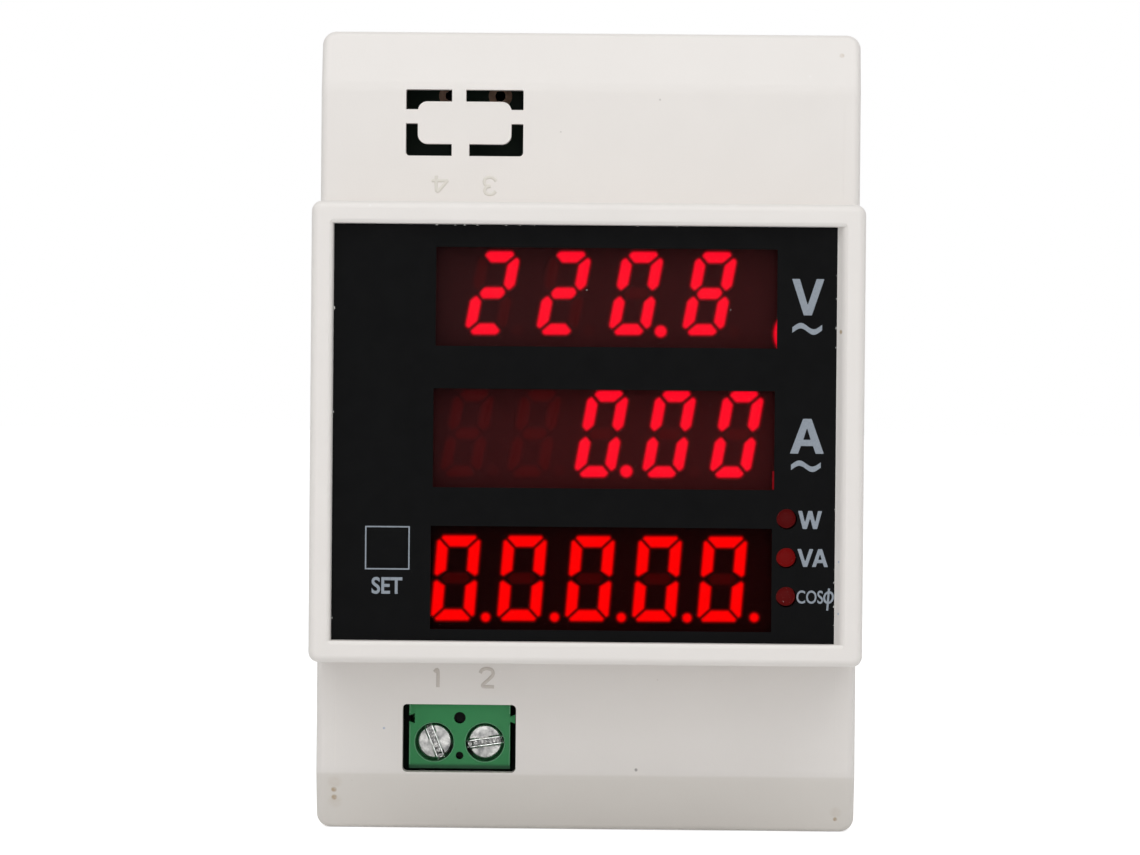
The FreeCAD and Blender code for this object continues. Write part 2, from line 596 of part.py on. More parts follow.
def rail_hook(x):
    """Fixed hook that goes behind the rail's upper lip."""
    profile = [(HOOK_Y, SLOT_HALF), (HOOK_Y, HOOK_TIP_Z), (HOOK_Y + HOOK_DEPTH - HOOK_OVERLAP, HOOK_TIP_Z),
               (HOOK_Y + HOOK_DEPTH, SLOT_HALF)]
    return side_prism(profile, x - HOOK_WIDTH / 2, x + HOOK_WIDTH / 2)


def latch_channel():
    """Undercut channel that the latch slides in, open to the slot and to the bottom face."""
    half = LATCH_WIDTH / 2 + MOVING_GAP
    track = box(-half, half, CHANNEL_Y, CHANNEL_BACK_Y, -HALF_HEIGHT, -SLOT_HALF)
    half_mouth = LATCH_MOUTH_WIDTH / 2
    mouth = box(-half_mouth, half_mouth, CHANNEL_Y, REAR_DEPTH, -HALF_HEIGHT, -SLOT_HALF)
    return track.fuse(mouth)


def spring_post():
    """Post on the channel floor that the spring pushes against."""
    half = LATCH_WINDOW_WIDTH / 2 - SPRING_POST_CLEARANCE
    return box(-half, half, CHANNEL_Y, LATCH_BACK_Y + LATCH_SEAT_HEIGHT, SPRING_POST_Z, SPRING_LOW_Z)


def snap_window(x, side):
    """Window in the top or bottom wall that a snap's barb drops into."""
    half = SNAP_WIDTH / 2 + SNAP_CLEARANCE
    barb_back = PARTING_Y + SNAP_REACH
    return box(x - half, x + half, barb_back - SNAP_BARB_LENGTH - SNAP_CLEARANCE, barb_back + SNAP_CLEARANCE,
               side * (HALF_HEIGHT - 2 * WALL), side * (HALF_HEIGHT + OVERRUN))


def rear_housing():
    outer = rounded_prism(0, 0, 2 * HALF_WIDTH, 2 * HALF_HEIGHT, CASE_CORNER_RADIUS, PARTING_Y, REAR_DEPTH)
    outer = chamfer_where(outer, SEAM_CHAMFER, lambda edge: lies_at(edge, "y", PARTING_Y))
    outer = chamfer_where(outer, REAR_EDGE_CHAMFER, lambda edge: lies_at(edge, "y", REAR_DEPTH))
    lap = lap_outline(WALL / 2 + LAP_CLEARANCE / 2, PARTING_Y - LAP_LENGTH, PARTING_Y)
    sleeve_hole = rod_z(SLEEVE_X, SLEEVE_Y, SLEEVE_RADIUS + SLEEVE_CLEARANCE, -HALF_HEIGHT, HALF_HEIGHT)
    windows = [snap_window(x, side) for x, side in snap_places()]
    housing = cut_all(outer.fuse(lap), [rear_hollow(), rail_slot(), latch_channel(), sleeve_hole] + windows)
    hook_x = HALF_WIDTH - HOOK_SIDE_GAP - HOOK_WIDTH / 2
    return fuse_all([housing, spring_post(), rail_hook(-hook_x), rail_hook(hook_x)])


# Rail latch and spring

def rail_latch():
    """Slider with a bevelled nose, a window for the spring and a slot for a screwdriver."""
    nose = [(HOOK_Y, LATCH_END_Z), (HOOK_Y, -HOOK_TIP_Z), (HOOK_Y + RAIL_CLEARANCE, -HOOK_TIP_Z),
            (LATCH_BACK_Y, -SLOT_HALF), (LATCH_BACK_Y, LATCH_END_Z)]
    body = side_prism(nose, -LATCH_WIDTH / 2, LATCH_WIDTH / 2)
    half = LATCH_WINDOW_WIDTH / 2
    seat = box(-half, half, HOOK_Y, LATCH_BACK_Y + LATCH_SEAT_HEIGHT,
               SPRING_HIGH_Z, SPRING_HIGH_Z + LATCH_SEAT_THICKNESS)
    window = box(-half, half, HOOK_Y, LATCH_BACK_Y, LATCH_WINDOW_Z, SPRING_HIGH_Z)
    tool_slot = centred_box(0, LATCH_END_Z + LATCH_TAIL / 2, LATCH_TOOL_SLOT_WIDTH, LATCH_TOOL_SLOT_HEIGHT,
                            HOOK_Y, LATCH_BACK_Y)
    return cut_all(body, [window, tool_slot]).fuse(seat).removeSplitter()


def latch_spring():
    """Serpentine strip spring between the housing's post and the latch's seat."""
    half_strip = SPRING_STRIP / 2
    low = SPRING_LOW_Z + SPRING_END_GAP + half_strip
    high = SPRING_HIGH_Z - SPRING_END_GAP - half_strip
    bend_radius = (high - low) / SPRING_BENDS / 2
    reach = SPRING_WIDTH / 2 - bend_radius - half_strip
    y0, y1 = HOOK_Y, HOOK_Y + SPRING_DEPTH
    pieces = []
    for index in range(SPRING_BENDS + 1):
        z = low + 2 * bend_radius * index
        pieces.append(box(-reach, reach, y0, y1, z - half_strip, z + half_strip))
    for index in range(SPRING_BENDS):
        side = 1 if index % 2 else -1
        z = low + bend_radius * (2 * index + 1)
        ring = rod_y(side * reach, z, bend_radius + half_strip, y0, y1).cut(
            rod_y(side * reach, z, bend_radius - half_strip, y0, y1))
        outer_half = box(side * reach, side * SPRING_WIDTH, y0, y1, z - SPRING_WIDTH, z + SPRING_WIDTH)
        pieces.append(ring.common(outer_half))
    return fuse_all(pieces)


# Film, filter and displays

def front_film():
    """Printed film with three windows and three lamp spots."""
    half_w = HALF_WIDTH - FRAME_WIDTH - RECESS_DRAFT
    film = box(FILM_GAP_LEFT - half_w, half_w - FILM_GAP_RIGHT, FILM_FRONT_Y, LEDGE_FRONT_Y,
               -FILM_HALF_HEIGHT, FILM_HALF_HEIGHT)
    windows = [centred_box(WINDOW_X[row], WINDOW_Z[row], WINDOW_WIDTH, WINDOW_HEIGHT[row],
                           FILM_FRONT_Y, LEDGE_FRONT_Y) for row in WINDOW_BAR]
    spots = [rod_y(LAMP_X, z, LAMP_SPOT_DIAMETER / 2, FILM_FRONT_Y, LEDGE_FRONT_Y) for z in lamp_places()]
    return cut_all(film, windows + spots)


def window_filter():
    """Red-tinted pane that fills the opening behind the film."""
    pane = ledge_opening(FILTER_CLEARANCE, LEDGE_FRONT_Y, FILTER_BACK_Y)
    hole_radius = KEY_PLUNGER_RADIUS + KEY_HOLE_CLEARANCE
    return pane.cut(rod_y(KEY_X, KEY_Z, hole_radius, LEDGE_FRONT_Y, FILTER_BACK_Y))


def display_module(row):
    return centred_box(WINDOW_X[row], WINDOW_Z[row], DISPLAY_WIDTH, ROW_PITCH - DISPLAY_ROW_GAP,
                       DISPLAY_FACE_Y, DISPLAY_BOARD_Y)


def digit_pitch(row):
    return (WINDOW_WIDTH - DIGIT_ROW_MARGIN[row]) / DIGIT_COUNT[row]


def digit_size(row):
    return digit_pitch(row) - DIGIT_SPACE[row], WINDOW_HEIGHT[row] - DIGIT_TOP_MARGIN[row]


def digit_places(row):
    """Centre of each digit in a row, from left to right."""
    pitch = digit_pitch(row)
    first = WINDOW_X[row] + DIGIT_SHIFT_X[row] - pitch * (DIGIT_COUNT[row] - 1) / 2
    z = WINDOW_Z[row] + DIGIT_SHIFT_Z[row]
    return [(first + pitch * index, z) for index in range(DIGIT_COUNT[row])]


def segment_outlines(width, height):
    """Seven bars of one digit about its centre, with mitred ends, as lists of (x, z) points."""
    side, top = width / 2, height / 2
    stroke, half, gap = SEGMENT_STROKE, SEGMENT_STROKE / 2, SEGMENT_GAP
    inner = side - stroke
    tip = side - half - gap
    flat = inner - gap
    bars = [[(-tip, 0), (-flat, half), (flat, half), (tip, 0), (flat, -half), (-flat, -half)]]
    for up in (-1, 1):
        bars.append([(gap - side, up * top), (side - gap, up * top), (inner - gap, up * (top - stroke)),
                     (gap - inner, up * (top - stroke))])
        for right in (-1, 1):
            corners = [(side, top - gap), (side, gap), (side - half, gap), (inner, half + gap),
                       (inner, top - stroke - gap)]
            bars.append([(right * x, up * z) for x, z in corners])
    return bars


def round_point(x, z, y0, y1):
    """Decimal point, as a prism with POINT_SIDES sides."""
    turns = [2 * math.pi * (index + 0.5) / POINT_SIDES for index in range(POINT_SIDES)]
    radius = POINT_DIAMETER / 2
    return plate([(x + radius * math.cos(turn), z + radius * math.sin(turn)) for turn in turns], y0, y1)


def digits(row):
    """Segments and decimal points of one display row, leaning to the right."""
    lean = math.tan(math.radians(DIGIT_SLANT[row]))
    width, height = digit_size(row)
    y0 = DISPLAY_FACE_Y - DIGIT_RELIEF
    solids = []
    for centre_x, centre_z in digit_places(row):
        for bar in segment_outlines(width, height):
            leaning = [(centre_x + x + lean * z, centre_z + z) for x, z in bar]
            solids.append(plate(leaning, y0, DISPLAY_FACE_Y))
        point_x = centre_x + width / 2 + POINT_OFFSET - lean * height / 2
        solids.append(round_point(point_x, centre_z - (height - POINT_DIAMETER) / 2, y0, DISPLAY_FACE_Y))
    return Part.makeCompound(solids)


def display_pin_places():
    places = []
    span = DISPLAY_PIN_PITCH * (DISPLAY_PIN_COUNT - 1)
    for row in WINDOW_BAR:
        for index in range(DISPLAY_PIN_COUNT):
            x = WINDOW_X[row] - span / 2 + DISPLAY_PIN_PITCH * index
            places += [(x, WINDOW_Z[row] + side * DISPLAY_PIN_ROWS / 2) for side in (-1, 1)]
    return places


def lamp_lead_places():
    return [(LAMP_X, z + side * LAMP_LEAD_SPACING / 2) for z in lamp_places() for side in (-1, 1)]


def connector_places():
    return [(CONNECTOR_X, CONNECTOR_PITCH * (index - (CONNECTOR_PINS - 1) / 2))
            for index in range(CONNECTOR_PINS)]


def square_pins(places, size, y0, y1):
    """Square pins, or with a larger size the holes that they go through."""
    return [centred_box(x, z, size, size, y0, y1) for x, z in places]


def display_pins():
    return Part.makeCompound(square_pins(display_pin_places(), DISPLAY_PIN_SIZE, DISPLAY_BOARD_Y,
                                         DISPLAY_BOARD_BACK_Y + PIN_TAIL))


def mode_lamps():
    """Three small round lamps with flat fronts."""
    return Part.makeCompound([rod_y(LAMP_X, z, LAMP_RADIUS, DISPLAY_FACE_Y, DISPLAY_FACE_Y + LAMP_HEIGHT)
                              for z in lamp_places()])


def lamp_leads():
    return Part.makeCompound(square_pins(lamp_lead_places(), LAMP_LEAD_SIZE, DISPLAY_FACE_Y + LAMP_HEIGHT,
                                         DISPLAY_BOARD_BACK_Y + PIN_TAIL))


def display_board():
    half_w = HALF_WIDTH - WALL - BOARD_CLEARANCE
    half_h = HALF_BLOCK - WALL - BOARD_CLEARANCE
    y0, y1 = DISPLAY_BOARD_Y, DISPLAY_BOARD_BACK_Y
    holes = square_pins(display_posts(), PEG_WIDTH + 2 * PEG_CLEARANCE, y0, y1)
    holes += square_pins(display_pin_places(), DISPLAY_PIN_SIZE + 2 * PIN_CLEARANCE, y0, y1)
    holes += square_pins(lamp_lead_places(), LAMP_LEAD_SIZE + 2 * PIN_CLEARANCE, y0, y1)
    holes += square_pins(connector_places(), CONNECTOR_PIN_SIZE + 2 * PIN_CLEARANCE, y0, y1)
    return cut_all(box(-half_w, half_w, y0, y1, -half_h, half_h), holes)


# Key switch

def key_switch():
    body = centred_box(KEY_X, KEY_Z, KEY_BODY_SIZE, KEY_BODY_SIZE, KEY_BODY_Y, DISPLAY_BOARD_Y)
    return body.cut(rod_y(KEY_X, KEY_Z, KEY_PLUNGER_RADIUS + KEY_PLUNGER_CLEARANCE, KEY_BODY_Y,
                          KEY_BODY_Y + KEY_PLUNGER_DEPTH + KEY_TRAVEL + MOVING_GAP))


def key_plunger():
    front = LEDGE_FRONT_Y + KEY_FILM_GAP
    back = KEY_BODY_Y + KEY_PLUNGER_DEPTH
    return turned(KEY_X, KEY_Z, [(0, front), (KEY_PLUNGER_RADIUS - KEY_PLUNGER_EDGE, front),
                                 (KEY_PLUNGER_RADIUS, front + KEY_PLUNGER_EDGE), (KEY_PLUNGER_RADIUS, back),
                                 (0, back)])


# Connector between the boards

def connector_strip(y0, y1, tunnel_y):
    """Plastic strip with a square tunnel for each pin, from its front to tunnel_y."""
    strip = centred_box(CONNECTOR_X, 0, CONNECTOR_BREADTH, CONNECTOR_PITCH * CONNECTOR_PINS, y0, y1)
    size = CONNECTOR_PIN_SIZE + 2 * CONNECTOR_PIN_CLEARANCE
    return cut_all(strip, square_pins(connector_places(), size, y0, tunnel_y))


def connector_header():
    back = DISPLAY_BOARD_BACK_Y + CONNECTOR_HEADER_HEIGHT
    return connector_strip(DISPLAY_BOARD_BACK_Y, back, back)


def connector_socket():
    return connector_strip(SOCKET_Y, MAIN_BOARD_Y, SOCKET_Y + CONNECTOR_PIN_INSERT + MOVING_GAP)


def connector_pins():
    return Part.makeCompound(square_pins(connector_places(), CONNECTOR_PIN_SIZE, DISPLAY_BOARD_Y - PIN_TAIL,
                                         SOCKET_Y + CONNECTOR_PIN_INSERT))


# Main board and what is on it

def spare_pad_places():
    x, z = TERMINAL_X + SPARE_PAD_SHIFT, SPARE_PAD_RISE - TERMINAL_WINDOW_Z
    return [(x - TERMINAL_PITCH / 2, z), (x + TERMINAL_PITCH / 2, z)]


def main_board():
    half_w = HALF_WIDTH - WALL - BOARD_CLEARANCE
    half_h = HALF_HEIGHT - WALL - BOARD_CLEARANCE
    y0, y1 = MAIN_BOARD_Y, MAIN_BOARD_BACK_Y
    holes = square_pins(main_posts(), PEG_WIDTH + 2 * PEG_CLEARANCE, y0, y1)
    holes += square_pins([(x, CONTACT_PIN_Z) for x in POLE_X], CONTACT_PIN_WIDTH + 2 * PIN_CLEARANCE, y0, y1)
    holes += [rod_y(x, z, SPARE_PAD_HOLE_RADIUS, y0, y1) for x, z in spare_pad_places()]
    return cut_all(box(-half_w, half_w, y0, y1, -half_h, half_h), holes)


def spare_pads():
    """Copper rings for the second terminal block, which isn't fitted."""
    y0 = MAIN_BOARD_Y - SPARE_PAD_THICKNESS
    profile = [(SPARE_PAD_HOLE_RADIUS, y0), (SPARE_PAD_RADIUS, y0), (SPARE_PAD_RADIUS, MAIN_BOARD_Y),
               (SPARE_PAD_HOLE_RADIUS, MAIN_BOARD_Y)]
    return Part.makeCompound([turned(x, z, profile) for x, z in spare_pad_places()])


def chip(place):
    """Flat chip on the front of the main board, with a row of legs on each side."""
    length = CHIP_LEG_PITCH * place["legs"]
    body = centred_box(place["x"], place["z"], CHIP_BREADTH, length, MAIN_BOARD_Y - CHIP_HEIGHT, MAIN_BOARD_Y)
    reach = CHIP_BREADTH + 2 * CHIP_LEG_REACH
    first = place["z"] - CHIP_LEG_PITCH * (place["legs"] - 1) / 2
    legs = [centred_box(place["x"], first + CHIP_LEG_PITCH * index, reach, CHIP_LEG_WIDTH,
                        MAIN_BOARD_Y - CHIP_LEG_THICKNESS, MAIN_BOARD_Y) for index in range(place["legs"])]
    return fuse_all([body] + legs)


def film_capacitor():
    size = FILM_CAPACITOR
    back = MAIN_BOARD_BACK_Y + size["height"]
    block = centred_box(size["x"], size["z"], size["width"], size["length"], MAIN_BOARD_BACK_Y, back)
    return chamfer_where(block, size["edge"], lambda edge: lies_at(edge, "y", back))


def round_capacitor():
    size = ROUND_CAPACITOR
    return rod_y(size["x"], size["z"], size["radius"], MAIN_BOARD_BACK_Y, MAIN_BOARD_BACK_Y + size["height"])


def varistor():
    """Disc on two short legs, standing on the back of the main board."""
    size = VARISTOR
    centre_y = MAIN_BOARD_BACK_Y + size["lead"] + size["radius"]
    disc = rod_z(size["x"], centre_y, size["radius"], size["z"] - size["thickness"] / 2,
                 size["z"] + size["thickness"] / 2)
    legs = [(size["x"] - size["radius"] / 2, size["z"]), (size["x"] + size["radius"] / 2, size["z"])]
    return fuse_all([disc] + square_pins(legs, size["leg"], MAIN_BOARD_BACK_Y, centre_y))


# Terminal block

def dovetail(x, shrink):
    """Dovetail along Y that points right from x, narrower at its mouth than at its base."""
    z = TERMINAL_BOTTOM_Z + DOVETAIL_RISE
    mouth = DOVETAIL_MOUTH / 2 - shrink
    base = DOVETAIL_BASE / 2 - shrink
    tip = x + DOVETAIL_DEPTH - shrink
    return plate([(x, z - mouth), (tip, z - base), (tip, z + base), (x, z + mouth)],
                 TERMINAL_FRONT_Y, TERMINAL_FRONT_Y + DOVETAIL_LENGTH)


def terminal_cavity(x):
    """Hollow of one pole: screw hole, bridge bore, clamp shaft, contact pocket and wire entry."""
    z = TERMINAL_SCREW_Z
    pocket = CONTACT_WIDTH / 2 + CONTACT_CLEARANCE
    leg_top = CONTACT_PIN_Z + CONTACT_THICKNESS / 2 + CONTACT_CLEARANCE
    half_entry = WIRE_ENTRY_WIDTH / 2
    return [rod_y(x, z, CLAMP_HEAD_RADIUS + CLAMP_HEAD_HOLE_CLEARANCE, TERMINAL_FRONT_Y, HEAD_SEAT_Y),
            rod_y(x, z, CLAMP_SCREW_RADIUS + SCREW_CLEARANCE, HEAD_SEAT_Y, BRIDGE_BACK_Y),
            centred_box(x, z, CLAMP_WIDTH + 2 * CLAMP_SIDE_GAP, CLAMP_BREADTH + 2 * MOVING_GAP,
                        BRIDGE_BACK_Y, MAIN_BOARD_Y),
            box(x - pocket, x + pocket, CONTACT_Y - CONTACT_CLEARANCE, MAIN_BOARD_Y, z, leg_top),
            box(x - half_entry, x + half_entry, CONTACT_BACK_Y, CLAMP_REAR_WALL_Y, TERMINAL_BOTTOM_Z, z)]


def terminal_block():
    left, right = TERMINAL_X - TERMINAL_HALF, TERMINAL_X + TERMINAL_HALF
    top = TERMINAL_BOTTOM_Z + TERMINAL_BREADTH
    body = box(left, right, TERMINAL_FRONT_Y, MAIN_BOARD_Y, TERMINAL_BOTTOM_Z, top)
    hollows = [dovetail(left, 0)]
    for rise, radius in MARKER_HOLES:
        hollows.append(rod_y(TERMINAL_X, TERMINAL_BOTTOM_Z + rise, radius, TERMINAL_FRONT_Y,
                             TERMINAL_FRONT_Y + MARKER_HOLE_DEPTH))
    for x in POLE_X:
        hollows += terminal_cavity(x)
    return cut_all(fuse_all([body, dovetail(right, DOVETAIL_CLEARANCE)]), hollows)


def terminal_screw(pole):
    """Slotted screw with a round head, held in the block and threaded into the clamp."""
    x, z = POLE_X[pole], TERMINAL_SCREW_Z
    seat = HEAD_SEAT_Y - SCREW_CLEARANCE
    front = seat - CLAMP_HEAD_HEIGHT
    end = CONTACT_Y - SCREW_CLEARANCE
    screw = turned(x, z, [(0, front), (CLAMP_HEAD_RADIUS, front), (CLAMP_HEAD_RADIUS, seat),
                          (CLAMP_SCREW_RADIUS, seat), (CLAMP_SCREW_RADIUS, end), (0, end)])
    slot_length = 2 * CLAMP_HEAD_RADIUS + OVERRUN
    slot = centred_box(x, z, CLAMP_SLOT_WIDTH, slot_length, front, front + CLAMP_SLOT_DEPTH)
    slot.rotate(V(x, 0, z), V(0, 1, 0), CLAMP_SLOT_ANGLES[pole])
    return screw.cut(slot)


def wire_clamp(pole):
    """Open box that the screw draws forward to grip the wire under the contact."""
    x, z = POLE_X[pole], TERMINAL_SCREW_Z
    outer = centred_box(x, z, CLAMP_WIDTH, CLAMP_BREADTH, CLAMP_Y, CLAMP_BACK_Y)
    wall_back = CLAMP_Y + CLAMP_FRONT_WALL
    tunnel = centred_box(x, z, CLAMP_WIDTH - 2 * CLAMP_SIDE_WALL, CLAMP_BREADTH, wall_back, CLAMP_REAR_WALL_Y)
    thread = rod_y(x, z, CLAMP_SCREW_RADIUS + SCREW_CLEARANCE, CLAMP_Y, wall_back)
    return cut_all(outer, [tunnel, thread])


def terminal_contact(x):
    """Contact bar of one pole, bent down to a pin that is soldered into the main board."""
    half = CONTACT_THICKNESS / 2
    low, high = CONTACT_PIN_Z - half, CONTACT_PIN_Z + half
    bar_low = TERMINAL_SCREW_Z - CLAMP_BREADTH / 2
    half_bar, half_pin = CONTACT_WIDTH / 2, CONTACT_PIN_WIDTH / 2
    bar = box(x - half_bar, x + half_bar, CONTACT_Y, CONTACT_BACK_Y, bar_low, high)
    leg = box(x - half_bar, x + half_bar, CONTACT_Y, MAIN_BOARD_Y, low, high)
    pin = box(x - half_pin, x + half_pin, MAIN_BOARD_Y, MAIN_BOARD_BACK_Y + PIN_TAIL, low, high)
    return fuse_all([bar, leg, pin])


def terminal_contacts():
    return Part.makeCompound([terminal_contact(x) for x in POLE_X])


# Wire sleeve and current transformer

def wire_sleeve():
    """Tube through the case, from the bottom face to the top face, with flared mouths."""
    bore = SLEEVE_BORE / 2
    flare = bore + SLEEVE_LEAD_IN
    tube = rod_z(SLEEVE_X, SLEEVE_Y, SLEEVE_RADIUS, -HALF_HEIGHT, HALF_HEIGHT)
    hole = rod_z(SLEEVE_X, SLEEVE_Y, bore, -HALF_HEIGHT, HALF_HEIGHT)
    mouths = [Part.makeCone(flare, bore, SLEEVE_LEAD_IN, V(SLEEVE_X, SLEEVE_Y, side * HALF_HEIGHT),
                            V(0, 0, -side)) for side in (-1, 1)]
    return cut_all(tube, [hole] + mouths)


def current_transformer():
    """Potted ring round the sleeve."""
    low, high = RING_Z - RING_HEIGHT / 2, RING_Z + RING_HEIGHT / 2
    ring = rod_z(SLEEVE_X, SLEEVE_Y, RING_RADIUS, low, high)
    return ring.cut(rod_z(SLEEVE_X, SLEEVE_Y, SLEEVE_RADIUS + RING_CLEARANCE, low, high))


def all_parts():
    parts = {
        "front_cover": front_cover(),
        "rear_housing": rear_housing(),
        "rail_latch": rail_latch(),
        "latch_spring": latch_spring(),
        "front_film": front_film(),
        "window_filter": window_filter(),
        "display_board": display_board(),
        "display_pins": display_pins(),
        "mode_lamps": mode_lamps(),
        "lamp_leads": lamp_leads(),
        "key_switch": key_switch(),
        "key_plunger": key_plunger(),
        "connector_header": connector_header(),
        "connector_socket": connector_socket(),
        "connector_pins": connector_pins(),
        "main_board": main_board(),
        "spare_pads": spare_pads(),
        "meter_chip": chip(METER_CHIP),
        "controller_chip": chip(CONTROLLER_CHIP),
        "film_capacitor": film_capacitor(),
        "round_capacitor": round_capacitor(),
        "varistor": varistor(),
        "terminal_block": terminal_block(),
        "terminal_contacts": terminal_contacts(),
        "wire_sleeve": wire_sleeve(),
        "current_transformer": current_transformer(),
    }
    for row in WINDOW_BAR:
        parts[row + "_display"] = display_module(row)
        parts[row + "_digits"] = digits(row)
    for pole in range(TERMINAL_POLES):
        parts[f"terminal_screw_{pole + 1}"] = terminal_screw(pole)
        parts[f"wire_clamp_{pole + 1}"] = wire_clamp(pole)
    return parts


def main():
    os.makedirs("parts", exist_ok=True)
    for name, shape in all_parts().items():
        shape.exportStep(f"parts/{name}.step")
        print(name, len(shape.Solids), "solids", "valid" if shape.isValid() else "NOT VALID",
              round(shape.Volume, 2), "mm3")


main()
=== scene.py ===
import math
import random

import bmesh
import bpy
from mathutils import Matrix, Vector, noise


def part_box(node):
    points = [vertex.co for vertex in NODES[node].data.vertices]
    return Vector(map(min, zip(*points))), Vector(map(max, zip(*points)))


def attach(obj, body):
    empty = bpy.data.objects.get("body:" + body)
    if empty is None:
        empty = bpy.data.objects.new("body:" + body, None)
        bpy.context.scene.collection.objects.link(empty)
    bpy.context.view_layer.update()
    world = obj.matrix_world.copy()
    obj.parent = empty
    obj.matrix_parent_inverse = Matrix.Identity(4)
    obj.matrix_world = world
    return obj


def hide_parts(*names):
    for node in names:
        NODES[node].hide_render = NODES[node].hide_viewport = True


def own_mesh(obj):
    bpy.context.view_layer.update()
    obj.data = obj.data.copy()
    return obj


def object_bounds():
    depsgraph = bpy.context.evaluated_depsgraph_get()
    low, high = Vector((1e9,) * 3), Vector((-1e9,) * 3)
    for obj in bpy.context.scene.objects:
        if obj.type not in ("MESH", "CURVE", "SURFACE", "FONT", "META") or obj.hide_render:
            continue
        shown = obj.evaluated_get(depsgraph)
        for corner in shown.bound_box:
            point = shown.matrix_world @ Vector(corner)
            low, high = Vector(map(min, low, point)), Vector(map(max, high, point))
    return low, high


# Digital energy meter for a DIN rail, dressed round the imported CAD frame.
# The frame is in metres; sizes below are in millimetres and go through mm().

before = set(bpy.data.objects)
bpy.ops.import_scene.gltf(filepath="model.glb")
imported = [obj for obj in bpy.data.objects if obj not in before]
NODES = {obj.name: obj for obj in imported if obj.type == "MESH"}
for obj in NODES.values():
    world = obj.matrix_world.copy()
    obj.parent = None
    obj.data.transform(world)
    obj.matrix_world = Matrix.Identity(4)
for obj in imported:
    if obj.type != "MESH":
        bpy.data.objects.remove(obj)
CAD_BOUNDS = [list(corner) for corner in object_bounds()]
RANDOM = random.Random(7)


def mm(*values):
    """Millimetres to metres, for one value or a vector."""
    return values[0] * 0.001 if len(values) == 1 else Vector(values) * 0.001


def box(node):
    """Lowest and highest corner of a CAD node, in millimetres."""
    return [[value * 1000 for value in corner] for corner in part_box(node)]


def middle(node):
    """Middle of a CAD node as seen from the front, as x and z."""
    low, high = box(node)
    return (low[0] + high[0]) / 2, (low[2] + high[2]) / 2


# Front planes of the film, of the display modules and of the level part of the shoulders
FILM_Y = box("front_film")[0][1]
FACE_Y = box("voltage_display")[0][1]
SHOULDER_Y = -44.0

# A shoulder slopes back from this height to its end
BEVEL_START_Z = 34.3
BEVEL_SLOPE = 2.0 / 5.7


def shoulder_y(z):
    """Front of a shoulder at height z."""
    return SHOULDER_Y + max(0.0, abs(z) - BEVEL_START_Z) * BEVEL_SLOPE


# Colours of the case and of the marks on it
CASE_COLOUR = (0.800, 0.768, 0.738)
# Painted shade for the lower bevel: darker and yellower than the case
LOWER_BEVEL_PAINTED_SHADE = (0.655, 0.620, 0.565)
RUST = (0.36, 0.23, 0.09)
GREY = (0.10, 0.09, 0.08)
BLUE = (0.25, 0.36, 0.55)

# Marks on the shoulders: x, z, radius, strength and colour
CASE_MARKS = [
    (-25.21, -36.1, 0.34, 0.72, RUST), (-25.18, -36.9, 0.34, 0.72, RUST), (-25.10, -35.3, 0.85, 0.12, RUST),
    (-25.10, -37.3, 0.85, 0.12, RUST), (25.12, -38.69, 0.26, 0.75, RUST), (25.15, -38.0, 0.70, 0.12, RUST),
    (25.10, 37.92, 0.30, 0.35, RUST), (5.10, -33.82, 0.19, 0.85, GREY), (-20.19, -29.86, 0.15, 0.7, BLUE),
    (6.9, 33.3, 0.14, 0.3, GREY), (-3.0, 30.0, 0.12, 0.25, GREY),
]

# Marks on the right wall of the recess: height, radius, strength and colour
RECESS_WALL = (24.62, -58.4)
RECESS_MARKS = [(10.14, 0.27, 0.75, RUST), (-12.26, 0.14, 0.7, BLUE), (-17.32, 0.14, 0.7, BLUE)]

# Round holes for a marker strip in the front of the green block
MARKER_HOLES = [(-12.66, -40.4, -28.88), (-12.66, -40.4, -32.68)]
MARKER_RADIUS = 1.55


# Materials

def add_node(tree, kind, inputs=None, **settings):
    """New shader node with its settings and with sockets that are set or linked."""
    made = tree.nodes.new(kind)
    for key, value in settings.items():
        setattr(made, key, value)
    for key, value in (inputs or {}).items():
        if isinstance(value, bpy.types.NodeSocket):
            tree.links.new(value, made.inputs[key])
        else:
            made.inputs[key].default_value = value
    return made


def shades(colour, tone):
    """A colour darkened and lightened by a share."""
    return [part * (1 - tone) for part in colour], [min(1.0, part * (1 + tone)) for part in colour]


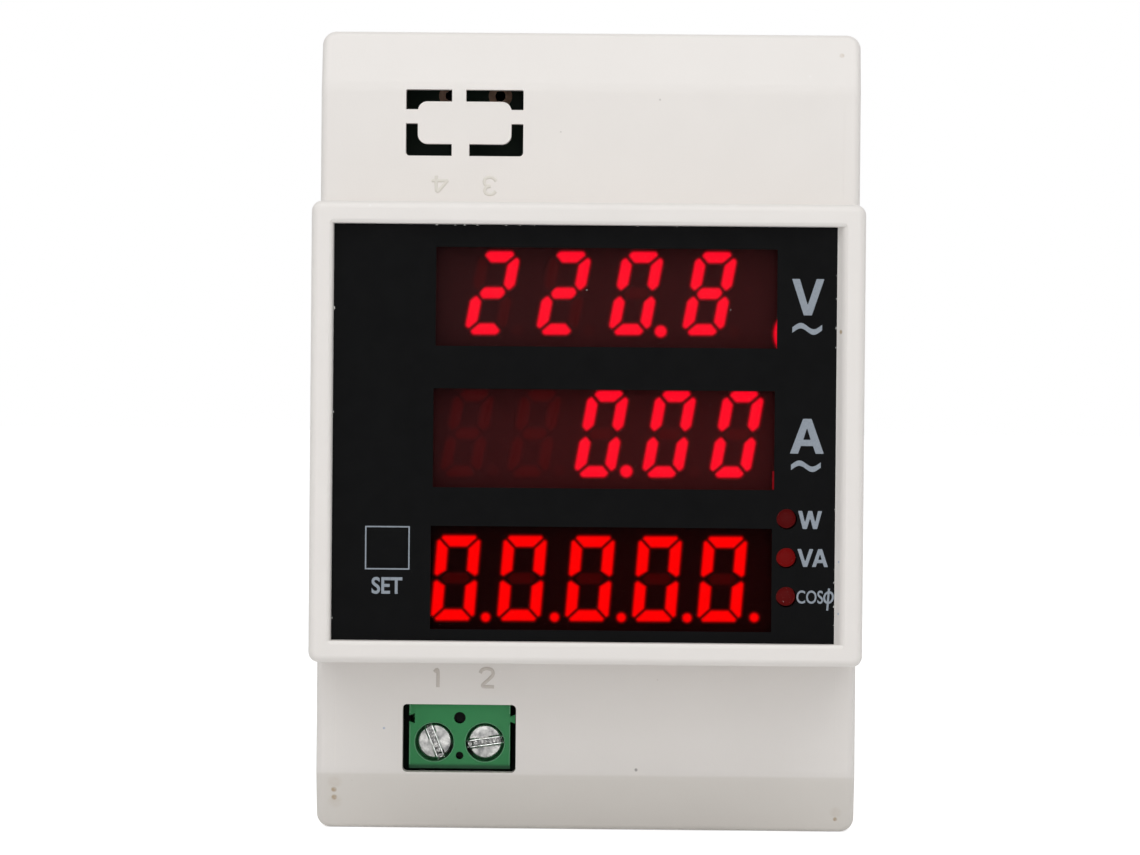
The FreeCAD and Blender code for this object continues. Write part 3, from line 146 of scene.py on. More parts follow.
class Recipe:
    """Node material whose patterns are laid out in the frame's own coordinates."""

    def __init__(self, name, colour, roughness, metallic=0.0, specular=0.5):
        self.material = bpy.data.materials.new(name)
        self.material.use_nodes = True
        self.tree = self.material.node_tree
        self.shader = next(node for node in self.tree.nodes if node.type == "BSDF_PRINCIPLED")
        self.place = self.tree.nodes.new("ShaderNodeTexCoord").outputs["Object"]
        self.set("Base Color", (*colour, 1.0))
        self.set("Roughness", roughness)
        self.set("Metallic", metallic)
        self.set("Specular IOR Level", specular)

    def set(self, socket, value):
        self.shader.inputs[socket].default_value = value

    def feed(self, source, socket):
        self.tree.links.new(source, self.shader.inputs[socket])

    def node(self, kind, inputs=None, **settings):
        return add_node(self.tree, kind, inputs, **settings)

    def axis(self, index):
        """Place along x, y or z, in metres."""
        return self.node("ShaderNodeSeparateXYZ", {"Vector": self.place}).outputs[index]

    def attribute(self, name):
        """Number that the mesh holds for each of its points."""
        return self.node("ShaderNodeAttribute", attribute_name=name).outputs["Fac"]

    def maths(self, operation, first, second):
        return self.node("ShaderNodeMath", {0: first, 1: second}, operation=operation).outputs[0]

    def ranged(self, value, low, high, to_low=0.0, to_high=1.0):
        """Value from low to high, moved to another range and held inside it."""
        return self.node("ShaderNodeMapRange", {"Value": value, "From Min": low, "From Max": high,
                                                "To Min": to_low, "To Max": to_high}).outputs[0]

    def noise(self, size, detail=2.0, stretch=(1.0, 1.0, 1.0)):
        """Noise from 0 to 1 with grains of about size millimetres."""
        vector = self.node("ShaderNodeMapping", {"Vector": self.place, "Scale": stretch}).outputs[0]
        return self.node("ShaderNodeTexNoise", {"Vector": vector, "Scale": 1000.0 / size,
                                                "Detail": detail}).outputs[0]

    def near(self, point, radius, soft=0.5):
        """1 within radius of a point in millimetres, fading to 0."""
        gap = self.node("ShaderNodeVectorMath", {0: self.place, 1: mm(*point)}, operation="DISTANCE")
        return self.ranged(gap.outputs["Value"], mm(radius), mm(radius * soft))

    def mixed(self, share, first, second):
        """Colour between two colours or sockets."""
        ends = [end if isinstance(end, bpy.types.NodeSocket) else (*end[:3], 1.0) for end in (first, second)]
        return self.node("ShaderNodeMix", {0: share, 6: ends[0], 7: ends[1]}, data_type="RGBA").outputs[2]

    def tones(self, pattern, first, second):
        """Base colour that varies between two colours."""
        self.feed(self.mixed(pattern, first, second), "Base Color")
        return self

    def paint(self, colour, share):
        """Lays a colour over what the surface has so far, by a share that may be a pattern."""
        socket = self.shader.inputs["Base Color"]
        under = socket.links[0].from_socket if socket.links else tuple(socket.default_value)
        return self.tones(share, under, colour)

    def speckle(self, colour, strength, spacing, radius, share):
        """Paints scattered dots: spacing and radius in millimetres, on a share of the cells."""
        cells = self.node("ShaderNodeTexVoronoi", {"Vector": self.place, "Scale": 1000.0 / spacing}).outputs
        near = self.ranged(cells["Distance"], radius / spacing, radius / spacing * 0.6)
        pick = self.node("ShaderNodeSeparateColor", {"Color": cells["Color"]}).outputs[0]
        dots = self.maths("MULTIPLY", near, self.maths("LESS_THAN", pick, share))
        return self.paint(colour, self.maths("MULTIPLY", dots, strength))

    def uneven(self, size, low, high):
        """Roughness that varies from low to high in patches."""
        self.feed(self.ranged(self.noise(size), 0.3, 0.7, low, high), "Roughness")
        return self

    def bump(self, height, depth):
        """Relief of depth millimetres from a pattern."""
        relief = self.node("ShaderNodeBump", {"Height": height, "Distance": mm(depth), "Strength": 1.0})
        self.feed(relief.outputs[0], "Normal")
        return self


def moulded(name, colour, roughness, tone=0.03, grain=0.22, depth=0.006, specular=0.5):
    """Moulded plastic: soft patches of tone, fine grain and slightly uneven gloss."""
    recipe = Recipe(name, colour, roughness, specular=specular)
    recipe.tones(recipe.noise(14.0, 3.0), *shades(colour, tone))
    recipe.uneven(5.0, roughness - 0.06, roughness + 0.06)
    return recipe.bump(recipe.noise(grain, 3.0), depth)


def case_plastic():
    """Off-white moulding with fine flecks, a painted shade on the lower bevel and the marks of handling."""
    recipe = moulded("white_plastic", CASE_COLOUR, 0.42, tone=0.012)
    recipe.speckle((0.55, 0.50, 0.45), 0.30, spacing=3.4, radius=0.11, share=0.40)
    recipe.speckle((0.86, 0.84, 0.82), 0.5, spacing=3.1, radius=0.16, share=0.30)
    # Painted shade: the front of the lower bevel darkens towards the bottom
    low = recipe.ranged(recipe.axis(2), mm(-BEVEL_START_Z), mm(-BEVEL_START_Z - 0.25), 0.0, 0.47)
    ahead = recipe.ranged(recipe.axis(1), mm(-39.0), mm(-40.0))
    recipe.paint(LOWER_BEVEL_PAINTED_SHADE, recipe.maths("MULTIPLY", low, ahead))
    for x, z, radius, strength, colour in CASE_MARKS:
        near = recipe.near((x, shoulder_y(z), z), radius)
        blotches = recipe.ranged(recipe.noise(0.35), 0.35, 0.6, strength * 0.6, strength)
        recipe.paint(colour, recipe.maths("MULTIPLY", near, blotches))
    for z, radius, strength, colour in RECESS_MARKS:
        recipe.paint(colour, recipe.maths("MULTIPLY", recipe.near((*RECESS_WALL, z), radius), strength))
    return recipe


def printed_film():
    """Satin black film with dust on it."""
    recipe = Recipe("black_film", (0.0035, 0.0036, 0.0038), 0.45, specular=0.033)
    recipe.tones(recipe.noise(1.6, 4.0), (0.0026, 0.0027, 0.0029), (0.0046, 0.0047, 0.0050))
    recipe.speckle((0.06, 0.06, 0.065), 0.35, spacing=1.7, radius=0.05, share=0.22)
    recipe.uneven(3.0, 0.38, 0.5)
    return recipe.bump(recipe.noise(0.3), 0.002)


def tinted_pane():
    """Smoked red window, clear enough to show the digits."""
    recipe = Recipe("red_window", (0.003, 0.0004, 0.0004), 0.22, specular=0.015)
    recipe.tones(recipe.noise(2.5), (0.002, 0.0003, 0.0003), (0.004, 0.0005, 0.0005))
    recipe.set("Alpha", 0.22)
    return recipe


def display_face(name, left, right):
    """Red-grey face of a display, with a painted glow that makes it redder towards the right, where more
    bars are lit.
    """
    recipe = Recipe(name, left, 0.6, specular=0.02)
    grain = recipe.ranged(recipe.noise(0.5, 3.0), 0.0, 1.0, 0.50, 0.66)
    # Painted glow: the face turns redder across the row towards the right
    across = recipe.ranged(recipe.axis(0), mm(-15.0), mm(18.0), 0.0, 0.92)
    return recipe.tones(recipe.maths("ADD", across, grain), left, right)


def glowing(name, left, right, core):
    """Bar of a display: the mesh holds its glow, from 0, where it fades into the face, to 1."""
    recipe = display_face(name, left, right)
    level = recipe.maths("POWER", recipe.attribute("glow"), 2.0)
    flecks = recipe.ranged(recipe.noise(0.25), 0.3, 0.7, 0.93, 1.04)
    recipe.set("Emission Color", (*core, 1.0))
    recipe.feed(recipe.maths("MULTIPLY", level, flecks), "Emission Strength")
    return recipe


def metal(name, colour, roughness, tone=0.06):
    """Metal with fine drawn scratches along one axis."""
    recipe = Recipe(name, colour, roughness, metallic=1.0)
    scratches = recipe.noise(0.9, 4.0, stretch=(1.0, 1.0, 12.0))
    recipe.tones(scratches, *shades(colour, tone))
    recipe.uneven(0.5, roughness - 0.08, roughness + 0.1)
    return recipe.bump(scratches, 0.004)


def circuit_board():
    """Green solder mask over tracks, with bare tinned dots, its colours darkened as painted shade for the
    inside of the case.
    """
    # Painted shade: the mask, tracks and dots are darkened for the shade inside the case
    recipe = moulded("board", (0.004, 0.015, 0.008), 0.4, tone=0.1, grain=0.8, depth=0.002, specular=0.15)
    tracks = recipe.node("ShaderNodeTexBrick", {"Vector": recipe.place, "Scale": 170.0, "Mortar Size": 0.06},
                         offset=0.5).outputs["Fac"]
    recipe.paint((0.006, 0.024, 0.011), tracks)
    return recipe.speckle((0.06, 0.06, 0.055), 1.0, spacing=2.54, radius=0.3, share=0.2)


def film_print():
    """Grey-blue ink with slightly ragged cover."""
    recipe = Recipe("label_ink", (0.27, 0.305, 0.35), 0.55, specular=0.2)
    return recipe.tones(recipe.noise(0.12, 3.0), (0.20, 0.23, 0.27), (0.34, 0.38, 0.43))


def screw_metal():
    """Zinc plate, dull on the flats and bright where the mesh says it is worn, with painted shade on the
    slot's floor and a painted highlight round the rim.
    """
    recipe = Recipe("zinc_plate", (0.42, 0.42, 0.41), 0.34, metallic=1.0)
    wear = recipe.attribute("wear")
    patches = recipe.ranged(recipe.noise(0.7, 5.0), 0.35, 0.65)
    flats = recipe.mixed(patches, (0.17, 0.17, 0.17), (0.45, 0.445, 0.43))
    # Painted shade: low levels, on the slot's floor, go nearly black
    dull = recipe.mixed(recipe.ranged(wear, 0.0, 0.4), (0.10, 0.10, 0.10), flats)
    ragged = recipe.ranged(recipe.noise(0.22, 3.0), 0.3, 0.7, 0.5, 1.3)
    # Painted highlight round the rim, with the real wear of the burrs
    shine = recipe.maths("MULTIPLY", recipe.ranged(wear, 0.4, 1.0), ragged)
    recipe.tones(shine, dull, (0.95, 0.95, 0.94))
    recipe.speckle((0.16, 0.16, 0.155), 0.5, spacing=0.5, radius=0.07, share=0.4)
    recipe.uneven(0.4, 0.26, 0.44)
    return recipe.bump(recipe.noise(0.3, 4.0), 0.012)


def terminal_plastic():
    """Green moulding, with painted shade in the marker holes and along its lower front edge."""
    recipe = moulded("terminal_plastic", (0.033, 0.245, 0.082), 0.5, tone=0.06, grain=0.3, depth=0.008,
                     specular=0.25)
    # Painted shade inside the marker holes
    for hole in MARKER_HOLES:
        recipe.paint((0.001, 0.003, 0.001), recipe.near(hole, MARKER_RADIUS, soft=0.85))
    # Painted shade along the lower front edge
    low = recipe.ranged(recipe.axis(2), mm(-33.45), mm(-33.75))
    return recipe.paint((0.010, 0.075, 0.028), low)


# Colours of a row: its face at the left and at the right, where the redder right is a painted glow of the
# lit bars, then the light of lit and of unlit bars
ROW_COLOURS = {
    # Painted light: the voltage face's left colour is lifted against the shade near the window's edge
    "voltage": ((0.046, 0.0215, 0.0235), (0.090, 0.0180, 0.0190), (1.65, 0.0012, 0.030), (0.034, 0.0, 0.0)),
    "current": ((0.046, 0.0185, 0.0195), (0.106, 0.0150, 0.0160), (1.65, 0.0012, 0.028), (0.036, 0.0, 0.0)),
    "power": ((0.0002, 0.0001, 0.0001), (0.022, 0.0004, 0.0004), (1.65, 0.0, 0.0003),
              (0.052, 0.0003, 0.0003)),
}
FACES, LIT, UNLIT = {}, {}, {}
for row_name, (left, right, lit, unlit) in ROW_COLOURS.items():
    FACES[row_name] = display_face(f"{row_name}_window_face", left, right)
    LIT[row_name] = glowing(f"{row_name}_lit", left, right, lit)
    # Painted glow: unlit bars and points give a faint light of their own
    UNLIT[row_name] = glowing(f"{row_name}_unlit", left, right, unlit)

# One material for each slot of the record
MATERIALS = {
    "white_case": case_plastic(),
    "latch_plastic": moulded("latch_white", (0.79, 0.765, 0.73), 0.45, tone=0.02),
    "spring_steel": metal("spring_strip", (0.55, 0.55, 0.56), 0.32),
    "black_film": printed_film(),
    "red_filter": tinted_pane(),
    "board_green": circuit_board(),
    "tinned_pins": metal("tin", (0.78, 0.78, 0.76), 0.28),
    "gold_pins": metal("gold", (0.83, 0.62, 0.26), 0.25),
    "red_lamp": moulded("lamp_red", (0.32, 0.012, 0.014), 0.3, tone=0.1, grain=0.5, depth=0.001),
    "black_plastic": moulded("black_moulding", (0.02, 0.02, 0.021), 0.5, tone=0.1),
    "bare_copper": metal("copper", (0.26, 0.165, 0.12), 0.5, tone=0.15),
    "chip_epoxy": moulded("epoxy", (0.018, 0.018, 0.02), 0.55, tone=0.15, grain=0.12),
    "capacitor_grey": moulded("capacitor_box", (0.35, 0.36, 0.38), 0.45),
    "capacitor_sleeve": moulded("sleeve_blue", (0.02, 0.03, 0.10), 0.3),
    "varistor_blue": moulded("varistor_coat", (0.03, 0.10, 0.38), 0.35, tone=0.08, grain=0.6, depth=0.02),
    "terminal_green": terminal_plastic(),
    "transformer_black": moulded("potting", (0.02, 0.02, 0.022), 0.4, tone=0.2, grain=0.6, depth=0.02),
    "steel_screw": screw_metal(),
    "clamp_nickel": metal("nickel", (0.66, 0.64, 0.58), 0.35),
    "display_face": FACES["voltage"],
    "lit_red": LIT["voltage"],
}
INK = film_print()
# Lighter green for the block's lips: a painted highlight
LIP_PAINTED_HIGHLIGHT = moulded("terminal_lip", (0.10, 0.36, 0.17), 0.4, tone=0.2, grain=0.3)
# Darker tints for the moulded numbers: painted shade in place of the shade of engraved strokes
NUMBER_PAINTED_SHADE = moulded("number_painted_shade", (0.585, 0.54, 0.50), 0.5, tone=0.08)
CREAM_NUMBER_PAINTED_SHADE = moulded("cream_painted_shade", (0.715, 0.685, 0.630), 0.42, tone=0.03)


def dress_nodes():
    """Gives every CAD node the material of its slot."""
    for node in NODES.values():
        for holder in node.material_slots:
            slot = holder.material.name.split(".")[0]
            holder.material = MATERIALS[slot].material
    for row, face in FACES.items():
        NODES[f"{row}_display"].material_slots[0].material = face.material


# Pieces and meshes

def show(name, data):
    """New object in the scene."""
    thing = bpy.data.objects.new(name, data)
    bpy.context.scene.collection.objects.link(thing)
    return thing


def add_piece(name, mesh, slot, material=None, body="case", replaces=()):
    """Piece from a mesh in frame coordinates; its material is the slot's own unless one is given."""
    piece = show(name, mesh)
    mesh.materials.append((material or MATERIALS[slot]).material)
    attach(piece, body)
    if replaces:
        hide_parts(*replaces)
    return piece


def add_form(name, bm, slot, smooth=None, **settings):
    """Piece from a bmesh, normals outward, smooth across edges flatter than an angle in degrees."""
    bmesh.ops.recalc_face_normals(bm, faces=bm.faces)
    if smooth is not None:
        for face in bm.faces:
            face.smooth = True
        for edge in bm.edges:
            edge.smooth = len(edge.link_faces) == 2 and edge.calc_face_angle(0.0) < math.radians(smooth)
    mesh = bpy.data.meshes.new(name)
    bm.to_mesh(mesh)
    bm.free()
    return add_piece(name, mesh, slot, **settings)


def turns(steps):
    """Angles of a full turn in equal steps."""
    return [2 * math.pi * step / steps for step in range(steps)]


def circle(x, z, radius, steps):
    return [(x + radius * math.cos(turn), z + radius * math.sin(turn)) for turn in turns(steps)]


def bend(start, corner, end, steps):
    """Curve from start to end that follows the two sides of a corner."""
    points = []
    for share in (step / steps for step in range(steps + 1)):
        points.append(start * (1 - share) ** 2 + corner * 2 * share * (1 - share) + end * share ** 2)
    return points


def corners(x0, x1, z0, z1):
    """Corners of a rectangle, in turn."""
    return [Vector((x0, z0)), Vector((x1, z0)), Vector((x1, z1)), Vector((x0, z1))]


def rounded(points, radius, steps=4):
    """Closed outline of (x, z) points with its corners rounded."""
    points = [Vector(point) for point in points]
    outline = []
    for index, corner in enumerate(points):
        before, after = points[index - 1] - corner, points[(index + 1) % len(points)] - corner
        reach = min(radius / math.tan(before.angle(after) / 2), before.length * 0.48, after.length * 0.48)
        start, end = corner + before.normalized() * reach, corner + after.normalized() * reach
        outline += bend(start, corner, end, steps)
    return outline


def eased(points, steps=5):
    """Open path with its inner corners smoothed a little."""
    points = [Vector(point) for point in points]
    path = [points[0]]
    for before, corner, after in zip(points, points[1:], points[2:]):
        path += bend(corner.lerp(before, 0.35), corner, corner.lerp(after, 0.35), steps)
    return path + [points[-1]]


def inset(points, distance):
    """Outline moved inwards, for a convex outline in either turning direction."""
    points = [Vector(point) for point in points]
    centre = sum(points, Vector((0, 0))) / len(points)
    moved = []
    for index, point in enumerate(points):
        along = points[(index + 1) % len(points)] - points[index - 1]
        normal = Vector((-along.y, along.x)).normalized()
        if normal.dot(centre - point) < 0:
            normal.negate()
        moved.append(point + normal * distance)
    return moved


def loop(bm, points, y):
    return [bm.verts.new(mm(x, y, z)) for x, z in points]


def bridge(bm, first, second):
    """Faces between two rings of vertices."""
    count = len(first)
    for index in range(count):
        after = (index + 1) % count
        bm.faces.new((first[index], first[after], second[after], second[index]))


def bridges(bm, rings):
    for first, second in zip(rings, rings[1:]):
        bridge(bm, first, second)


def grid_faces(bm, rows):
    """Faces between neighbouring rows of vertices."""
    for low, high in zip(rows, rows[1:]):
        for index in range(len(low) - 1):
            bm.faces.new((low[index], low[index + 1], high[index + 1], high[index]))


def lathe(bm, x, z, profile, steps=48):
    """Turned form about a line along Y: profile is (radius, y) pairs."""
    rings = [loop(bm, circle(x, z, radius, steps) if radius else [(x, z)], y) for radius, y in profile]
    for first, second in zip(rings, rings[1:]):
        if len(first) == len(second):
            bridge(bm, first, second)
            continue
        tip, ring = (first[0], second) if len(first) == 1 else (second[0], first)
        for index in range(steps):
            bm.faces.new((tip, ring[index], ring[(index + 1) % steps]))


def swept(bm, sections, closed=False):
    """Skin through rings that hold the same number of points, capped at its ends unless it is closed."""
    rings = [[bm.verts.new(point) for point in section] for section in sections]
    bridges(bm, rings)
    if closed:
        bridge(bm, rings[-1], rings[0])
    else:
        bm.faces.new(rings[0])
        bm.faces.new(rings[-1])


def ribbon(bm, path, profile):
    """Strip along an open path of (x, z) vectors: profile is (distance to its left, y) pairs."""
    sections = []
    for index, point in enumerate(path):
        along = path[min(len(path) - 1, index + 1)] - path[max(0, index - 1)]
        left = Vector((-along.y, along.x)).normalized()
        sections.append([mm(point.x + left.x * reach, y, point.y + left.y * reach) for reach, y in profile])
    swept(bm, sections)


# Digits

# Centres of a row's digits are in x and its middle in z; slant and tilt are in degrees. Corner is what is
# cut off where two bars meet, and gap the space left there.
ROUND_BARS = {"tilt": 0.30, "stroke": 1.22, "corner": 0.90, "gap": 0.13, "rounding": 0.52}
ROWS = {
    "voltage": {**ROUND_BARS, "text": "2208", "x": [-9.38, -2.41, 4.67, 11.86], "z": 13.74, "width": 4.20,
                "height": 8.28, "slant": 10.4, "points": [(7.11, 10.06)], "point_radius": 0.64},
    "current": {**ROUND_BARS, "text": "  000", "x": [-11.73, -5.15, 1.40, 8.03, 14.64], "z": -0.02,
                "width": 4.13, "height": 8.60, "slant": 10.0, "points": [(3.87, -3.65)],
                "point_radius": 0.66},
    "power": {"tilt": 0.25, "stroke": 1.20, "corner": 0.60, "gap": 0.085, "rounding": 0.22,
              "text": "00000", "x": [-12.74, -6.25, 0.41, 6.97, 13.35], "z": -14.19, "width": 4.34,
              "height": 8.44, "slant": 4.4, "point_radius": 0.50,
              "points": [(-9.78, -18.07), (-3.03, -18.0), (3.5, -17.97), (9.94, -17.95), (16.5, -17.85)]},
}

# Bars that a digit lights, how far bars stand proud of the face, how strongly points glow, how far a glow
# reaches outside its bar, and the x that all points are left of
LIT_BARS = {"0": "ABCDEF", "2": "ABGED", "8": "ABCDEFG", " ": ""}
BAR_RISE = {"lit": 0.075, "unlit": 0.035}
POINT_GLOW = {"lit": 1.0, "unlit": 0.55}
HALO = 0.26
LAST_POINT_X = 17.0

# Slivers of light at the right edge of a window: x, z, reach, half height and glow
EDGE_GLOWS = [(18.80, 9.9, 0.72, 1.45, 0.92), (18.50, -4.4, 0.22, 0.9, 0.42)]


def bar_outlines(layout, mitred):
    """The seven bars of a digit about its centre: mitred trapezoids, or bars with rounded tips."""
    side, top, half = layout["width"] / 2, layout["height"] / 2, layout["stroke"] / 2
    corner, gap = layout["corner"], layout["gap"]
    inner, low, cut = side - layout["stroke"], top - layout["stroke"], corner / 2
    level = [(-(side - corner), top), (side - corner, top), (side - cut - gap, top - cut),
             (inner - gap, low), (-(inner - gap), low), (-(side - cut - gap), top - cut)]
    tip = [(side - 0.30, 0.15), (side, 0.42)] if mitred else [(side - half + 0.05, gap), (side, gap + 0.60)]
    upright = [(side, top - corner), (side - cut, top - cut - gap), (inner, low - gap),
               (inner, half + gap * 1.5)] + tip
    ends = [(-(side - half - gap), 0), (-(inner + 0.05), half), (inner + 0.05, half)]
    middle_bar = ends + [(-x, -z) for x, z in ends]
    return {"A": level, "D": [(x, -z) for x, z in level], "B": upright,
            "C": [(x, -z) for x, z in upright], "E": [(-x, -z) for x, z in upright],
            "F": [(-x, z) for x, z in upright], "G": middle_bar}


def placed_bar(outline, layout, centre):
    """Bar with rounded corners at a digit's centre, slanted and tilted as its row is."""
    lean, tilt = (math.tan(math.radians(layout[key])) for key in ("slant", "tilt"))
    middle_x = sum(layout["x"]) / len(layout["x"])
    points = []
    for x, z in rounded(outline, layout["rounding"]):
        x, z = centre + x + lean * z, layout["z"] + z
        points.append(Vector((x, z + (x - middle_x) * tilt)))
    return points


def glowing_mesh():
    bm = bmesh.new()
    bm.verts.layers.float.new("glow")
    return bm


def glowing_slab(bm, points, rise, halo=HALO, share=1.0):
    """Low crowned bar that glows at its core and fades out round its edge."""
    layer = bm.verts.layers.float["glow"]
    front = FACE_Y - rise
    steps = [(-halo, FACE_Y - 0.001, 0.0), (-halo / 2, FACE_Y - 0.008, 0.18), (0.0, FACE_Y - 0.02, 0.42),
             (0.09, front + 0.012, 0.76), (0.22, front + 0.002, 1.0), (0.34, front, 1.0)]
    rings = []
    for distance, y, level in steps:
        ring = loop(bm, inset(points, distance), y)
        for vertex in ring:
            vertex[layer] = level * share
        rings.append(ring)
    bridges(bm, rings)
    bm.faces.new(rings[-1])
    bm.faces.new(rings[0])


def row_points(layout, mitred):
    """Round points of a row: the lit ones, and unlit ones after its other digits."""
    lit = [("lit", x, z) for x, z in layout["points"]]
    if mitred:
        return lit
    first_x, z = layout["points"][0]
    after = min(first_x - x for x in layout["x"] if x < first_x)
    spare = [x + after for x in layout["x"] if abs(x + after - first_x) > 1 and x + after < LAST_POINT_X]
    return lit + [("unlit", x, z) for x in spare]


def build_row(row):
    """Lit and unlit bars and points of one display row."""
    layout, mitred = ROWS[row], row == "power"
    made = {"lit": glowing_mesh(), "unlit": glowing_mesh()}
    for text, centre in zip(layout["text"], layout["x"]):
        for bar, outline in bar_outlines(layout, mitred).items():
            kind = "lit" if bar in LIT_BARS[text] else "unlit"
            glowing_slab(made[kind], placed_bar(outline, layout, centre), BAR_RISE[kind])
    for kind, x, z in row_points(layout, mitred):
        ring = circle(x, z, layout["point_radius"], 32)
        glowing_slab(made[kind], ring, BAR_RISE[kind], share=POINT_GLOW[kind])
    add_form(f"{row}_lit_bars", made["lit"], "lit_red", material=LIT[row], replaces=[f"{row}_digits"])
    # Unlit bars carry a faint painted glow
    add_form(f"{row}_unlit_bars", made["unlit"], "lit_red", material=UNLIT[row])


def build_edge_glow():
    """Slivers of light that show at the right edge of the two upper windows."""
    bm = glowing_mesh()
    for x, z, reach, half, share in EDGE_GLOWS:
        ring = [Vector((x - reach * math.sin(turn), z + half * math.cos(turn))) for turn in turns(32)[:17]]
        glowing_slab(bm, ring, 0.05, halo=0.30, share=share)
    add_form("edge_glow", bm, "lit_red", material=LIT["voltage"])


# Print on the film

# Outline round the key: lowest and highest x, lowest and highest z
KEY_BOX = (-21.57, -17.21, -13.42, -9.17)
INK_HEIGHT = 0.012
KEY_LINE = 0.13

# Phase mark: middle, half width and half height of its oval, its stroke and the half width of its line
PHASE_MIDDLE = (23.70, -15.76)
PHASE_RADII = (0.43, 0.52)
PHASE_STROKE = [(23.58, -17.03), (23.66, -15.9), (23.74, -14.88)]
PHASE_LINE = 0.10
PHASE_SLANT = 0.1

# Bold letters as closed outlines in a box one wide and one high
GLYPHS = {
    "V": [[(0, 1), (0.24, 1), (0.49, 0.28), (0.76, 1), (1, 1), (0.62, 0), (0.37, 0)]],
    "A": [[(0, 0), (0.38, 1), (0.63, 1), (1, 0), (0.76, 0), (0.68, 0.22), (0.32, 0.22), (0.24, 0)],
          [(0.39, 0.40), (0.61, 0.40), (0.50, 0.74)]],
    "W": [[(0, 1), (0.17, 1), (0.29, 0.34), (0.42, 1), (0.59, 1), (0.72, 0.34), (0.83, 1), (1, 1),
           (0.80, 0), (0.63, 0), (0.505, 0.60), (0.37, 0), (0.20, 0)]],
}


def curve_mesh(name, curve):
    """Mesh of a curve or of letters."""
    source = show(name + "_source", curve)
    bpy.context.view_layer.update()
    mesh = bpy.data.meshes.new_from_object(source.evaluated_get(bpy.context.evaluated_depsgraph_get()))
    bpy.data.objects.remove(source)
    mesh.materials.clear()
    return mesh


def printed_outlines(name, outlines):
    """Ink in the shape of closed outlines of (x, z) points on the film, with holes where they nest."""
    curve = bpy.data.curves.new(name, "CURVE")
    curve.dimensions = "2D"
    curve.fill_mode = "BOTH"
    curve.extrude = INK_HEIGHT / 2
    for points in outlines:
        spline = curve.splines.new("POLY")
        spline.points.add(len(points) - 1)
        spline.use_cyclic_u = True
        spline.points.foreach_set("co", [value for x, z in points for value in (x, z, 0, 1)])
    mesh = curve_mesh(name, curve)
    for vertex in mesh.vertices:
        vertex.co = mm(vertex.co.x, FILM_Y - INK_HEIGHT / 2 - vertex.co.z, vertex.co.y)
    add_piece(name, mesh, "black_film", material=INK)


def lettering(name, text, area, spacing=0.06):
    """Bold letters side by side in their box, corners eased as ink leaves them."""
    x0, x1, z0, z1 = area
    step = (x1 - x0 + spacing) / len(text)
    outlines = []
    for index, letter in enumerate(text):
        left, width = x0 + index * step, step - spacing
        for outline in GLYPHS[letter]:
            points = [(left + width * x, z0 + (z1 - z0) * z) for x, z in outline]
            outlines.append(rounded(points, 0.05, steps=2))
    printed_outlines(name, outlines)


def typed(name, text, area, weight):
    """Letters of the plain built-in typeface, fitted to their box."""
    curve = bpy.data.curves.new(name, "FONT")
    curve.body = text
    curve.offset = weight
    curve.resolution_u = 6
    curve.extrude = 0.01
    mesh = curve_mesh(name, curve)
    low = Vector(map(min, *(vertex.co for vertex in mesh.vertices)))
    high = Vector(map(max, *(vertex.co for vertex in mesh.vertices)))
    x0, x1, z0, z1 = area
    for vertex in mesh.vertices:
        across = (vertex.co.x - low.x) / (high.x - low.x)
        up = (vertex.co.y - low.y) / (high.y - low.y)
        front = FILM_Y - (INK_HEIGHT if vertex.co.z > 0 else 0.0)
        vertex.co = mm(x0 + (x1 - x0) * across, front, z0 + (z1 - z0) * up)
    add_piece(name, mesh, "black_film", material=INK)


def wave_mark(name, area):
    """Alternating-current sign: one thick wave whose ends are cut upright."""
    x0, x1, z0, z1 = area
    half = (z1 - z0) * 0.47 / 2
    middle_z, swing = (z0 + z1) / 2, (z1 - z0) / 2 - half
    centre = []
    for share in (step / 24 for step in range(25)):
        phase = 2 * math.pi * (1.14 * share - 0.07)
        centre.append((x0 + (x1 - x0) * share, middle_z + swing * math.sin(phase)))
    top, bottom = [(x, z + half) for x, z in centre], [(x, z - half) for x, z in reversed(centre)]
    printed_outlines(name, [top + bottom])


def ink_line(half_width, height):
    """Section of a printed line: distances to its left and their y."""
    front = FILM_Y - height
    return [(half_width, FILM_Y), (half_width, front), (-half_width, front), (-half_width, FILM_Y)]


def build_phase_mark():
    """Slanted oval with a stroke through it."""
    bm = bmesh.new()
    sections = []
    for turn in turns(32):
        section = []
        for shift, y in ink_line(PHASE_LINE, 0.014):
            up = (PHASE_RADII[1] + shift) * math.sin(turn)
            across = (PHASE_RADII[0] + shift) * math.cos(turn) + PHASE_SLANT * up
            section.append(mm(PHASE_MIDDLE[0] + across, y, PHASE_MIDDLE[1] + up))
        sections.append(section)
    swept(bm, sections, closed=True)
    ribbon(bm, [Vector(point) for point in PHASE_STROKE], ink_line(PHASE_LINE, 0.016))
    add_form("print_phase", bm, "black_film", material=INK)


